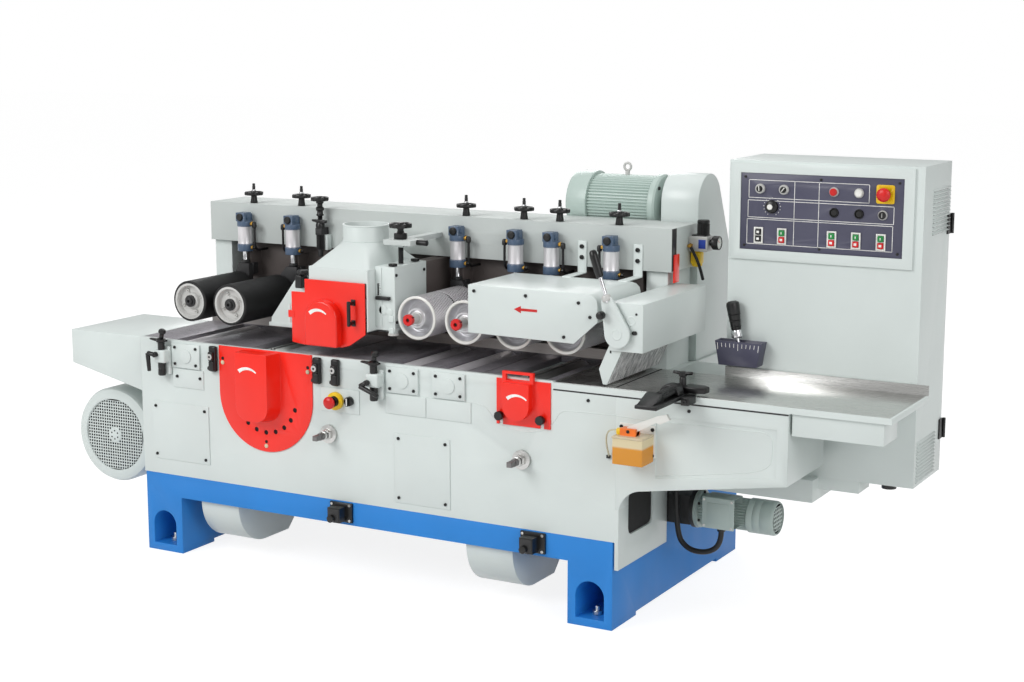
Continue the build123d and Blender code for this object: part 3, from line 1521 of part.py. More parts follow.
feed_motor.part.label = "feed_motor"
export_step(feed_motor.part, "parts/feed_motor.step")

# Belt guard: a closed sheet box standing on the deck
with BuildPart() as belt_guard:
    with BuildSketch(Plane.YZ.offset(guard_left)) as guard_outline:
        with BuildLine():
            dome_line = ThreePointArc(
                (y_at(guard_front), guard_top - guard_radius),
                (y_at(feed_motor_depth), guard_top),
                (y_at(feed_motor_depth + guard_radius * 0.87), guard_top - guard_radius * 0.5),
            )
            Polyline(
                dome_line @ 1, (y_at(guard_back), guard_shoulder), (y_at(guard_back), deck_top),
                (y_at(guard_front), deck_top), dome_line @ 0,
            )
        make_face()
    extrude(guard_outline.sketch, amount=guard_right - guard_left)
    with BuildSketch(Plane.YZ.offset(guard_left + guard_sheet)) as guard_hollow:
        with BuildLine():
            hollow_line = ThreePointArc(
                (y_at(guard_front + guard_sheet), guard_top - guard_radius),
                (y_at(feed_motor_depth), guard_top - guard_sheet),
                (
                    y_at(feed_motor_depth + (guard_radius - guard_sheet) * 0.87),
                    guard_top - guard_radius * 0.5 - guard_sheet / 2,
                ),
            )
            Polyline(
                hollow_line @ 1, (y_at(guard_back - guard_sheet), guard_shoulder - 1),
                (y_at(guard_back - guard_sheet), deck_top), (y_at(guard_front + guard_sheet), deck_top),
                hollow_line @ 0,
            )
        make_face()
    extrude(guard_hollow.sketch, amount=guard_right - guard_left - 2 * guard_sheet, mode=Mode.SUBTRACT)
belt_guard.part.label = "belt_guard"
export_step(belt_guard.part, "parts/belt_guard.step")

# Spindle motor at the left end
with BuildPart() as spindle_motor:
    fan_back = spindle_motor_front + 110
    shield_front = spindle_motor_back - 30
    bar_y(spindle_motor_x, spindle_motor_z, spindle_fan_radius, spindle_motor_front, fan_back)
    bar_y(spindle_motor_x, spindle_motor_z, spindle_motor_radius, fan_back, shield_front)
    bar_y(spindle_motor_x, spindle_motor_z, spindle_motor_radius + 8, shield_front, spindle_motor_back)
    bar_y(spindle_motor_x, spindle_motor_z, 24, spindle_motor_back, spindle_motor_back + 70)
    bar_y(spindle_motor_x, spindle_motor_z, 60, spindle_motor_back + 14, spindle_motor_back + 60)
    block(
        spindle_motor_x, -body_half, spindle_motor_front + 160, spindle_motor_back - 70,
        spindle_motor_z - 30, spindle_motor_z + 30,
    )
    block(
        -body_half - 30, -body_half, spindle_motor_front + 130, spindle_motor_back - 40,
        max(base_top, spindle_motor_z - 90), spindle_motor_z + 90,
    )
spindle_motor.part.label = "spindle_motor"
export_step(spindle_motor.part, "parts/spindle_motor.step")

# Gear motor at the right end with its terminal box and gland
box_bottom = gear_motor_z - 26
with BuildPart() as gear_motor:
    block(
        body_half, gear_flange_x, gear_motor_depth - gear_box_size / 2, gear_motor_depth + gear_box_size / 2,
        gear_motor_z - gear_box_size / 2, gear_motor_z + gear_box_size / 2,
    )
    bar_x(gear_motor_depth, gear_motor_z, gear_flange_radius, gear_flange_x, gear_flange_x + 16)
    bar_x(gear_motor_depth, gear_motor_z, gear_motor_radius, gear_flange_x + 16, gear_motor_end - 90)
    bar_x(gear_motor_depth, gear_motor_z, gear_motor_radius + 4, gear_motor_end - 90, gear_motor_end)
    block(
        conduit_end_x - 50, conduit_end_x + 50, conduit_depth - 28, gear_motor_depth - 30,
        box_bottom, gear_motor_z + 66,
    )
    bar_z(conduit_end_x, conduit_depth, conduit_gland_radius, box_bottom - 16, box_bottom)
gear_motor.part.label = "gear_motor"
export_step(gear_motor.part, "parts/gear_motor.step")

# Black conduit: a free loop from the arm's gland to the terminal box
conduit_start_z = arm_bottom - 18
conduit_end_z = box_bottom - 16
conduit_low = arm_bottom - conduit_hang
conduit_points = [
    (conduit_start_x, y_at(conduit_depth), conduit_start_z),
    (conduit_start_x, y_at(conduit_depth), conduit_low + 50),
    (conduit_start_x + 42, y_at(conduit_depth), conduit_low),
    (conduit_end_x - 42, y_at(conduit_depth), conduit_low),
    (conduit_end_x, y_at(conduit_depth), conduit_low + 34),
    (conduit_end_x, y_at(conduit_depth), conduit_end_z),
]


def bend_radii(points):
    """Radius at each inner point: 0.45 of the shorter run over tan of half the turn."""
    radii = []
    for before, here, after in zip(points, points[1:], points[2:]):
        first = Vector(*here) - Vector(*before)
        second = Vector(*after) - Vector(*here)
        half_turn = math.radians(first.get_angle(second)) / 2
        radii.append(0.45 * min(first.length, second.length) / math.tan(half_turn))
    return radii


conduit_radii = bend_radii(conduit_points)
print("conduit radii", [round(radius, 1) for radius in conduit_radii])
with BuildPart() as motor_conduit:
    with BuildLine() as conduit_path:
        FilletPolyline(*conduit_points, radius=conduit_radii)
    with BuildSketch(Plane(origin=conduit_path.line @ 0, z_dir=conduit_path.line % 0)) as conduit_section:
        Circle(conduit_radius)
    sweep(conduit_section.sketch, path=conduit_path.line)
print("conduit length", round(sum(edge.length for edge in conduit_path.line.edges()), 1))
motor_conduit.part.label = "motor_conduit"
export_step(motor_conduit.part, "parts/motor_conduit.step")

# Oil pump on the front of the infeed bracket
oil_head_front = -oil_lever_depth - 16
oil_head_back = -oil_lever_depth + 16
oil_slot_front = -oil_lever_depth - 6
oil_slot_back = -oil_lever_depth + 6
with BuildPart() as oil_pump:
    block(oil_left, oil_right, -oil_pump_depth, -6, oil_bottom, oil_top)
    block(oil_left - 14, oil_right + 4, -6, 0, oil_bottom + 10, oil_top + 24)
    block(oil_pivot_x - 26, oil_pivot_x + 24, oil_head_front, oil_head_back, oil_top, oil_pivot_z + 8)
    block(
        oil_pivot_x - 12, oil_pivot_x + 24, oil_slot_front, oil_slot_back,
        oil_pivot_z - 12, oil_pivot_z + 8, Mode.SUBTRACT,
    )
    bar_y(oil_pivot_x, oil_pivot_z, oil_pin_radius, oil_head_front, oil_head_back)
oil_pump.part.label = "oil_pump"
export_step(oil_pump.part, "parts/oil_pump.step")

with BuildPart() as oil_pump_lever:
    front_shape(
        [
            (oil_pivot_x - 8, oil_pivot_z - 8),
            (oil_pivot_x + 10, oil_pivot_z - 8),
            (oil_pivot_x + 84, oil_pivot_z + 33),
            (oil_pivot_x + 96, oil_pivot_z + 29),
            (oil_pivot_x + 126, oil_pivot_z + 45),
            (oil_pivot_x + 116, oil_pivot_z + 60),
            (oil_pivot_x + 86, oil_pivot_z + 52),
            (oil_pivot_x - 8, oil_pivot_z + 10),
        ],
        oil_slot_front + slide_gap, oil_slot_back - slide_gap,
    )
    bar_y(
        oil_pivot_x, oil_pivot_z, oil_pin_radius + bore_gap, oil_slot_front, oil_slot_back, Mode.SUBTRACT,
    )
oil_pump_lever.part.label = "oil_pump_lever"
export_step(oil_pump_lever.part, "parts/oil_pump_lever.step")

# Chip chutes under the base: curved front, open above
with BuildPart() as chip_chutes:
    for x, width in zip(chute_x, chute_width):
        left = x - width / 2
        bottom = leg_height - chute_drop
        for sheet, mode in ((0.0, Mode.ADD), (chute_sheet, Mode.SUBTRACT)):
            bend = chute_drop - 6 - sheet
            front = chute_front + sheet
            with BuildSketch(Plane.YZ.offset(left + sheet)) as chute_side:
                with BuildLine():
                    scoop = ThreePointArc(
                        (y_at(front), leg_height - 6 + sheet),
                        (y_at(front + bend * 0.293), bottom + sheet + bend * 0.293),
                        (y_at(front + bend), bottom + sheet),
                    )
                    Polyline(
                        scoop @ 1, (y_at(chute_back - 34), bottom + sheet),
                        (y_at(chute_back - sheet), bottom + 34), (y_at(chute_back - sheet), leg_height),
                        (y_at(front), leg_height), scoop @ 0,
                    )
                make_face()
            extrude(chute_side.sketch, amount=width - 2 * sheet, mode=mode)
chip_chutes.part.label = "chip_chutes"
export_step(chip_chutes.part, "parts/chip_chutes.step")

# Front fittings: latches, clamps, switches, adjusters, boxes, cover knobs and the shoe screw
with BuildPart() as front_fittings:
    for x in latch_x:
        block(x - 14, x + 14, -16, 0, bed_top - 90, bed_top - 4)
        block(x - 10, x + 10, -26, -16, bed_top - 52, bed_top - 22)
    for x in clamp_x:
        block(x - 24, x + 24, -40, 0, bed_top - 84, bed_top - 32)
        bar_z(x, -24, 11, bed_top - 128, bed_top + 16)
        bar_z(x, -24, 22, bed_top + 4, bed_top + 14)
        bar_z(x, -24, 8, bed_top + 16, bed_top + 40)
        bar_x(-48, bed_top - 70, 7, x - 34, x + 26)
        bar_y(x - 30, bed_top - 70, 6, -54, -40)
    block(front_estop_x - 6, front_estop_x + 6, -6, -3, front_estop_z - 6, front_estop_z + 6)
    bar_y(front_estop_x, front_estop_z, 29, -14, -3)
    bar_y(front_estop_x, front_estop_z, 17, -30, -14)
    bar_y(front_estop_x, front_estop_z, button_radius + slide_gap, -30, -3, Mode.SUBTRACT)
    selector_x = front_estop_x + 53
    selector_z = front_estop_z + 4
    bar_y(selector_x, selector_z, 15, -16, -3)
    block(selector_x - 4, selector_x + 4, -24, -16, selector_z - 14, selector_z + 14)
    for x in adjuster_x:
        bar_y(x, adjuster_z, 30, -10, 0)
        bar_y(x, adjuster_z, 12, -56, body_wall + 40)
        block(x - 8, x + 8, -84, -56, adjuster_z - 8, adjuster_z + 8)
    for x in base_box_x:
        block(x - 42, x + 42, -8, 0, base_top - 68, base_top - 4)
        block(x - 26, x + 20, -46, -8, base_top - 62, base_top - 14)
        bar_y(x - 8, base_top - 48, 12, -60, -46)
    for x in knob_x:
        bar_y(x, knob_z, cover_stem_radius, -10, 0)
        bar_y(x, knob_z, cover_knob_radius, -24, -10)
    block(
        slide_x - 19, slide_x + 19, slide_depth - 19, slide_depth + 19,
        screw_plate_z - 8, screw_plate_z,
    )
    bar_z(
        slide_x, slide_depth, head_screw_radius + slide_gap,
        screw_plate_z - 8, screw_plate_z, Mode.SUBTRACT,
    )
    bar_x(slide_depth + 4, screw_plate_z + 8, 9, slide_right + 24, slide_right + 60)
    shoe_screw_x = rip_head_x - 26
    nut_bottom = beam_bottom + 47
    nut_top = beam_bottom + 71
    shoe_wheel_z = beam_bottom + 165
    block(shoe_screw_x - 20, shoe_screw_x + 20, cylinder_depth - 18, beam_front, nut_bottom, nut_top)
    bar_z(shoe_screw_x, cylinder_depth, 9, beam_bottom - 27, shoe_wheel_z)
    bar_z(shoe_screw_x, cylinder_depth, 15, nut_top, nut_top + 30)
    bar_z(shoe_screw_x, cylinder_depth, 13, nut_bottom - 42, nut_bottom)
    bar_z(shoe_screw_x, cylinder_depth, 32, shoe_wheel_z, shoe_wheel_z + 14)
    block(beam_half, beam_half + 4, beam_front + 22, beam_front + 34, beam_bottom - 26, beam_bottom + 52)
front_fittings.part.label = "front_fittings"
export_step(front_fittings.part, "parts/front_fittings.step")

# Screw heads and the levelling bolts
with BuildPart() as screws:
    for x in bed_roller_x:
        for dx in (-44, 44):
            for dz in (-28, 28):
                bar_y(
                    x + dx, bed_roller_z + dz, screw_radius,
                    -bearing_plate_thickness - screw_head, -bearing_plate_thickness,
                )
    for left, right, bottom, top in access_panels:
        for x in (left + 16, right - 16):
            for z in (bottom + 16, top - 16):
                bar_y(x, z, screw_radius, -3 - screw_head, -3)
    for x, z in (
        (cover_left + 22, cover_top - 18), (cover_left + 200, cover_top - 20),
        (cover_right - 62, cover_top - 28),
        (cover_right - 24, cover_bottom + 80), (cover_right - 110, cover_bottom + 14),
    ):
        bar_y(x, z, screw_radius, cover_front - screw_head, cover_front)
    for x in strap_x:
        for z in (beam_bottom + 30, beam_bottom + 64):
            bar_y(x, z, 7, beam_front - strap_sheet - 6, beam_front - strap_sheet)
    for x, z in (
        (rip_guard_left + 16, bed_top - 56), (rip_guard_right - 16, bed_top - 56),
        (rip_head_x, rip_guard_centre_z - rip_guard_width / 2 + 20),
    ):
        bar_y(x, z, 8, -guard_plate - screw_head, -guard_plate)
    for x, z in ((body_half - 90, deck_top - 26), (body_half + 233, deck_top - 24)):
        bar_y(x, z, screw_radius, -screw_head, 0)
    for x in (panel_left + 14, (panel_left + panel_right) / 2, panel_right - 14):
        for z in (panel_bottom + 12, panel_top - 12):
            bar_y(x, z, 4, panel_front - 2, panel_front)
    for side in (-1, 1):
        for depth in (level_bolt_inset, base_depth - level_bolt_inset):
            bar_z(side * leg_centre, depth, level_bolt_radius, 0, level_bolt_height)
            bar_z(side * leg_centre, depth, 15, leg_floor, leg_floor + 13)
screws.part.label = "screws"
export_step(screws.part, "parts/screws.step")
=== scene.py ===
"""Looks of a double-sided planer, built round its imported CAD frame."""

import json
import math
from functools import partial

import bpy
from bpy.props import FloatProperty, FloatVectorProperty, IntProperty, PointerProperty
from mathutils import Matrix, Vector

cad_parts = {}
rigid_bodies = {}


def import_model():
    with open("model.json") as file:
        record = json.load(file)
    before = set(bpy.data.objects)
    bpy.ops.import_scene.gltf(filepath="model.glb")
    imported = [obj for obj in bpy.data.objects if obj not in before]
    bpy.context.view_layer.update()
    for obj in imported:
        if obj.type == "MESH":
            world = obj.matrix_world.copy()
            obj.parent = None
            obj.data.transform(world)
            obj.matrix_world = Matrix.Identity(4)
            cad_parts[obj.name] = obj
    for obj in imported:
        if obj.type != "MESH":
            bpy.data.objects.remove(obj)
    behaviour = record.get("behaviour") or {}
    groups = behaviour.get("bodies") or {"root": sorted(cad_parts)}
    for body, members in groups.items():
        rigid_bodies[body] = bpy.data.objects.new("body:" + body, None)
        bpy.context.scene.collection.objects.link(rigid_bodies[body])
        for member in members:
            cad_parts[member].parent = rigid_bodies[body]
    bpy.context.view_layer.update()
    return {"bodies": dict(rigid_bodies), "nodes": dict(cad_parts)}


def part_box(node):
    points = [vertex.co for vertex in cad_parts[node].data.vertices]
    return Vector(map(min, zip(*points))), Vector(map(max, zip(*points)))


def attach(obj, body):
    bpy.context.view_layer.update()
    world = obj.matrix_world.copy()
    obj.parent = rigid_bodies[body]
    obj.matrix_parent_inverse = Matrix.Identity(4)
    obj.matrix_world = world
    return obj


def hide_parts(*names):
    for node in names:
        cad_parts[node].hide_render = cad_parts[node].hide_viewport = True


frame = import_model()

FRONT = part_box("base_frame")[0].y
MM = 0.001
SMOOTH_ANGLE = 38
RIGHT, BACK, UP = Vector((1, 0, 0)), Vector((0, 1, 0)), Vector((0, 0, 1))
FORTH = Vector((0, -1, 0))

# Camera of the photograph: its place in millimetres, its tilt and turn in degrees
CAMERA_PLACE = (3135, -4640, 1800)
CAMERA_TILT = 10.11
CAMERA_TURN = 29.13

# Places that several pieces share, in millimetres: depths behind the front face, and one height
ROW_DEPTH = 360
STOP_DEPTH = 416
ROLLER_FACE = 70
PANEL = 347
SHAFT_HEIGHT = 492

bl_info = {
    "name": "Double-sided planer",
    "version": (1, 0, 0),
    "blender": (4, 5, 0),
    "location": "View3D > Sidebar > Planer",
    "description": "Dresses the planer's CAD frame with detailed pieces and finishes",
    "category": "Object",
}

# Places and small helpers


def at(x, depth, z):
    """Point from millimetres: x, depth behind the front face, height."""
    return Vector((x * MM, FRONT + depth * MM, z * MM))


def depth_of(point):
    """Depth behind the front face, in millimetres."""
    return (point.y - FRONT) / MM


def middle(node):
    """Centre of a CAD node's box: x, depth and height in millimetres."""
    low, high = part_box(node)
    centre = (low + high) / 2
    return centre.x / MM, depth_of(centre), centre.z / MM


ROLLERS = [middle(f"feed_roller_{number}") for number in range(1, 7)]
CYLINDERS = [middle(f"stop_handwheel_{number}")[0] for number in range(1, 7)]


def mode(kind):
    """Goes to edit mode or to object mode."""
    bpy.ops.object.mode_set(mode=kind)


def clear():
    """Leaves edit mode and deselects everything."""
    if bpy.context.object and bpy.context.object.mode != "OBJECT":
        mode("OBJECT")
    bpy.ops.object.select_all(action="DESELECT")


def pick(piece):
    """Makes this the only selected object and the active one."""
    clear()
    piece.select_set(True)
    bpy.context.view_layer.objects.active = piece


def settle(piece):
    """Puts the object's place, turn and scale into its mesh."""
    pick(piece)
    bpy.ops.object.transform_apply(location=True, rotation=True, scale=True)


def soften(piece, width, segments=2, angle=32):
    """Rounds the sharp edges and smooths the rest."""
    pick(piece)
    if width > 0:
        edge = piece.modifiers.new("edge", "BEVEL")
        edge.width = width * MM
        edge.segments = segments
        edge.limit_method = "ANGLE"
        edge.angle_limit = math.radians(angle)
        bpy.ops.object.modifier_apply(modifier=edge.name)
    bpy.ops.object.shade_smooth_by_angle(angle=math.radians(SMOOTH_ANGLE))


def coat(piece, finish):
    """Gives the whole piece one finish."""
    piece.data.materials.clear()
    piece.data.materials.append(finish)
    return piece


def coat_faces(piece, finish, test):
    """Gives a finish to the faces whose centre (in millimetres) and normal pass the test."""
    piece.data.materials.append(finish)
    slot = len(piece.data.materials) - 1
    for face in piece.data.polygons:
        c = face.center
        if test(c.x / MM, depth_of(c), c.z / MM, face.normal):
            face.material_index = slot


def outward():
    """Merges doubles and turns all faces outwards, in edit mode."""
    bpy.ops.mesh.select_all(action="SELECT")
    bpy.ops.mesh.remove_doubles(threshold=0.00001)
    bpy.ops.mesh.normals_make_consistent(inside=False)
    mode("OBJECT")


def outline(points, fill="NGON"):
    """New ring of points, all selected in edit mode."""
    clear()
    bpy.ops.mesh.primitive_circle_add(vertices=len(points), fill_type=fill)
    piece = bpy.context.object
    for vertex, point in zip(piece.data.vertices, points):
        vertex.co = point
    mode("EDIT")
    bpy.ops.mesh.select_all(action="SELECT")
    return piece


def slab(x0, x1, d0, d1, z0, z1, finish, edge=1.0, segments=2):
    """Block between two corners with softened edges."""
    clear()
    bpy.ops.mesh.primitive_cube_add(size=1, location=(at(x0, d0, z0) + at(x1, d1, z1)) / 2)
    piece = bpy.context.object
    piece.scale = at(x1, d1, z1) - at(x0, d0, z0)
    settle(piece)
    soften(piece, edge, segments)
    return coat(piece, finish)


def bar(start, end, radius, finish, edge=0.8, sides=32, tip=None):
    """Round bar or cone between two points; sides sets its count of facets."""
    clear()
    start = Vector(start)
    end = Vector(end)
    run = end - start
    turn = run.to_track_quat("Z", "Y").to_euler()
    bpy.ops.mesh.primitive_cone_add(
        vertices=sides, radius1=radius * MM, radius2=(radius if tip is None else tip) * MM,
        depth=run.length, location=(start + end) / 2, rotation=turn,
    )
    piece = bpy.context.object
    settle(piece)
    soften(piece, edge)
    return coat(piece, finish)


def pin(x, z, d0, d1, *looks):
    """Round bar from front to back, between two depths."""
    return bar(at(x, d0, z), at(x, d1, z), *looks)


def post(x, depth, z0, z1, *looks):
    """Upright round bar between two heights."""
    return bar(at(x, depth, z0), at(x, depth, z1), *looks)


def shaft(x0, x1, depth, z, *looks):
    """Round bar along the machine."""
    return bar(at(x0, depth, z), at(x1, depth, z), *looks)


def plate(points, thickness, finish, edge=0.8, segments=2):
    """Flat plate with any outline, extruded by a vector in metres."""
    piece = outline(points)
    bpy.ops.mesh.extrude_region_move(TRANSFORM_OT_translate={"value": thickness})
    outward()
    soften(piece, edge, segments)
    return coat(piece, finish)


def turned(profile, centre, axis, finish, sides=48, edge=0.0):
    """Turned piece: a closed profile of (radius, along) in millimetres spun round an axis."""
    along = Vector(axis).normalized()
    across = UP if abs(along.z) < 0.9 else RIGHT
    across = (across - along * across.dot(along)).normalized()
    piece = outline([centre + across * radius * MM + along * run * MM for radius, run in profile], "NOTHING")
    bpy.ops.mesh.spin(steps=sides, angle=2 * math.pi, center=centre, axis=along)
    outward()
    soften(piece, edge)
    return coat(piece, finish)


def solid(profile, *looks):
    """Turned piece that is full: both ends of its profile are led to the axis."""
    return turned([(0, profile[0][1]), *profile, (0, profile[-1][1])], *looks)


def ring_points(radius, count, start=0.0, sweep=360.0):
    """Points on a circle or an arc, as pairs in millimetres."""
    step = sweep / count if sweep >= 360 else sweep / (count - 1)
    turns = [math.radians(start + i * step) for i in range(count)]
    return [(radius * math.cos(turn), radius * math.sin(turn)) for turn in turns]


def dressed(node, finish, edge=1.2, segments=2):
    """Merged copy of a CAD node with softened edges, which stands for the node."""
    source = frame["nodes"][node]
    piece = bpy.data.objects.new(node + "_dressed", source.data.copy())
    bpy.context.collection.objects.link(piece)
    pick(piece)
    mode("EDIT")
    bpy.ops.mesh.select_all(action="SELECT")
    bpy.ops.mesh.remove_doubles(threshold=0.00002)
    bpy.ops.mesh.dissolve_limited(angle_limit=math.radians(0.4))
    mode("OBJECT")
    soften(piece, edge, segments)
    return coat(piece, finish)


def drop_faces(piece, test):
    """Deletes the faces that pass the test and stays in edit mode."""
    pick(piece)
    mode("EDIT")
    bpy.ops.mesh.select_mode(type="FACE")
    bpy.ops.mesh.select_all(action="DESELECT")
    mode("OBJECT")
    for face in piece.data.polygons:
        face.select = test(face)
    mode("EDIT")
    bpy.ops.mesh.delete(type="FACE")


def trimmed(piece, test):
    """Deletes the faces whose centre passes the test; x, depth and z are in millimetres."""
    drop_faces(piece, lambda face: test(face.center.x / MM, depth_of(face.center), face.center.z / MM))
    bpy.ops.mesh.select_mode(type="VERT")
    bpy.ops.mesh.select_all(action="SELECT")
    bpy.ops.mesh.delete_loose()
    mode("OBJECT")
    return piece


def bored(piece, start, end, radius, sides=32):
    """Cuts a round hole through a piece, between two points."""
    drill = bar(start, end, radius, piece.data.materials[0], 0.0, sides)
    pick(piece)
    cut = piece.modifiers.new("bore", "BOOLEAN")
    cut.object = drill
    cut.operation = "DIFFERENCE"
    cut.solver = "EXACT"
    bpy.ops.object.modifier_apply(modifier=cut.name)
    bpy.data.objects.remove(drill)
    return piece


def hose_line(name, points, radius, ring, steps):
    """Smooth round curve through points; ring and steps set how fine it is."""
    line = bpy.data.curves.new(name, "CURVE")
    line.dimensions = "3D"
    line.bevel_depth = radius * MM
    line.bevel_resolution = ring
    line.resolution_u = steps
    line.use_fill_caps = True
    spline = line.splines.new("NURBS")
    spline.points.add(len(points) - 1)
    for knot, point in zip(spline.points, points):
        knot.co = (*point, 1)
    spline.order_u = 3
    spline.use_endpoint_u = True
    piece = bpy.data.objects.new(name, line)
    bpy.context.collection.objects.link(piece)
    return piece


def tube(points, radius, finish):
    """Hose or wire through points, from a smooth curve."""
    pick(hose_line("tube", points, radius, 3, 8))
    bpy.ops.object.convert(target="MESH")
    piece = bpy.context.object
    soften(piece, 0)
    return coat(piece, finish)


def socket_screw(place, axis, radius, height, finish, sides=20):
    """Cap screw with a socket; its head stands on the place along the axis."""
    return turned(
        [
            (0, 0), (radius, 0), (radius, height * 0.8), (radius * 0.86, height), (radius * 0.5, height),
            (radius * 0.46, height * 0.45), (0, height * 0.4),
        ],
        place, axis, finish, sides)


def front_points(pairs, depth):
    """Points in the front view, from (x, z) pairs at one depth."""
    return [at(x, depth, z) for x, z in pairs]


def round_rect(x0, x1, z0, z1, radius, steps=6):
    """Corner-rounded rectangle as (x, z) pairs."""
    pairs = []
    for cx, cz, start in (
        (x1 - radius, z1 - radius, 0), (x0 + radius, z1 - radius, 90),
        (x0 + radius, z0 + radius, 180), (x1 - radius, z0 + radius, 270),
    ):
        pairs += [(cx + x, cz + z) for x, z in ring_points(radius, steps, start, 90)]
    return pairs


def arc_arrow(x, z, depth, radius, start, end, width, finish):
    """Flat mark for a direction of turning: an arc in the front view that widens towards its end."""
    count = 14
    edges = ([], [])
    for i in range(count):
        share = i / (count - 1)
        turn = math.radians(start + (end - start) * share)
        half = width * 0.5 * (0.35 + 0.65 * share)
        for edge, reach in zip(edges, (radius + half, radius - half)):
            edge.append((x + reach * math.cos(turn), z + reach * math.sin(turn)))
    outer, inner = edges
    return plate(front_points(outer + inner[::-1], depth), BACK * 0.0008, finish, 0.1, 1)


def lobed_wheel(x, depth, z, radius, height, lobes, finish):
    """Handwheel in the top view: rim with grip lobes, four spokes and a hub; z is its underside."""
    rim = turned(
        [
            (radius - 11, height * 0.3), (radius - 7, height * 0.08), (radius - 3.5, 0),
            (radius - 1.5, height * 0.25), (radius - 1.5, height * 0.75), (radius - 3.5, height),
            (radius - 7, height * 0.92), (radius - 11, height * 0.7),
        ],
        at(x, depth, z), UP, finish, 48)
    parts = [rim]
    for dx, dy in ring_points(radius - 5.5, lobes, 10):
        parts.append(post(x + dx, depth + dy, z, z + height, 5.5, finish, 2.2, 16))
    for dx, dy in ring_points(radius - 9, 4, 30):
        parts.append(bar(
            at(x, depth, z + height / 2), at(x + dx, depth + dy, z + height / 2), 3.6, finish, 0, 12))
    parts.append(solid(
        [(radius * 0.34, -2), (radius * 0.36, height * 0.6), (radius * 0.26, height + 3)],
        at(x, depth, z), UP, finish, 32))
    return parts


def threaded(x, depth, radius, z0, z1, pitch, finish, sides=24):
    """Upright screw with its thread as rings of relief."""
    profile = [(0, z0)]
    count = max(2, int((z1 - z0) / pitch))
    step = (z1 - z0) / count
    for i in range(count):
        profile += [(radius * 0.84, z0 + i * step), (radius, z0 + (i + 0.5) * step)]
    profile += [(radius * 0.84, z1), (0, z1)]
    return turned(profile, at(x, depth, 0), UP, finish, sides)


def toothed(ring, run, finish, rows=1, swell=1.0, twist=0.0, caps=True):
    """Extrudes a ring of points along a vector in rows, which may swell in turn and twist."""
    centre = sum(ring, Vector()) / len(ring)
    axis = "Y" if abs(run.y) > abs(run.x) else "X"
    piece = outline(ring, "NGON" if caps else "NOTHING")
    for row in range(rows):
        bpy.ops.mesh.extrude_region_move(TRANSFORM_OT_translate={"value": run / rows})
        place = centre + run * (row + 1) / rows
        if swell != 1.0:
            size = swell if row % 2 == 0 else 1 / swell
            bpy.ops.transform.resize(value=(size, size, size), center_override=place)
        if twist:
            bpy.ops.transform.rotate(value=math.radians(twist), orient_axis=axis, center_override=place)
    outward()
    soften(piece, 0)
    return coat(piece, finish)


def finned(place, run, radius, depth, count, finish):
    """Round bar with square fins, from a place along a vector that follows one axis."""
    across, up = [way for way in (RIGHT, BACK, UP) if not way.dot(run)]
    root = radius - depth
    ring = []
    for i in range(count):
        for share, reach in ((0.0, root), (0.3, radius), (0.62, radius), (0.92, root)):
            turn = 2 * math.pi * (i + share) / count
            ring.append(place + (across * math.cos(turn) + up * math.sin(turn)) * reach * MM)
    return toothed(ring, run, finish)


def grille(centre, axis, radius, pitch, finish):
    """Round perforated sheet: a grid cut to a disc, each face inset and opened, then thickened."""
    clear()
    cells = int(2 * radius / pitch)
    bpy.ops.mesh.primitive_grid_add(x_subdivisions=cells, y_subdivisions=cells, size=2 * radius * MM)
    piece = bpy.context.object
    drop_faces(piece, lambda face: face.center.length > (radius - pitch * 0.7) * MM)
    bpy.ops.mesh.select_all(action="SELECT")
    bpy.ops.mesh.inset(thickness=pitch * 0.17 * MM, use_individual=True)
    bpy.ops.mesh.delete(type="FACE")
    mode("OBJECT")
    sheet = piece.modifiers.new("sheet", "SOLIDIFY")
    sheet.thickness = 1.6 * MM
    sheet.offset = 0
    bpy.ops.object.modifier_apply(modifier=sheet.name)
    piece.rotation_euler = Vector(axis).to_track_quat("Z", "Y").to_euler()
    piece.location = centre
    settle(piece)
    soften(piece, 0)
    return coat(piece, finish)


def assemble(name, body, parts, nodes=()):
    """Joins the parts into one named piece that rides on a body and may stand for CAD nodes."""
    pick(parts[0])
    for part in parts[1:]:
        part.select_set(True)
    if len(parts) > 1:
        bpy.ops.object.join()
    piece = bpy.context.object
    piece.name = name
    piece.data.name = name
    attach(piece, body)
    if nodes:
        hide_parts(*nodes)
    return piece


def stand_in(node, parts):
    """Joins the parts into the piece that stands for one CAD node, on the node's own body if it moves."""
    body = node if node in frame["bodies"] else "frame"
    return assemble(node + "_dressed", body, parts, [node])


# Finishes

_finishes = {}


def put(inputs, values):
    """Sets shader inputs by their names."""
    for name, value in values.items():
        inputs[name].default_value = value


def linear(colour):
    """Scene-linear colour of a display colour."""
    return tuple(c / 12.92 if c <= 0.04045 else ((c + 0.055) / 1.055) ** 2.4 for c in colour)


def shade(colour, gain):
    """Colour made lighter or darker, with alpha."""
    return tuple(min(1.0, c * gain) for c in colour) + (1.0,)


def once(maker):
    """Makes each named finish only the first time it is asked for."""

    def made(name, *looks):
        if name not in _finishes:
            _finishes[name] = maker(name, *looks)
        return _finishes[name]

    return made


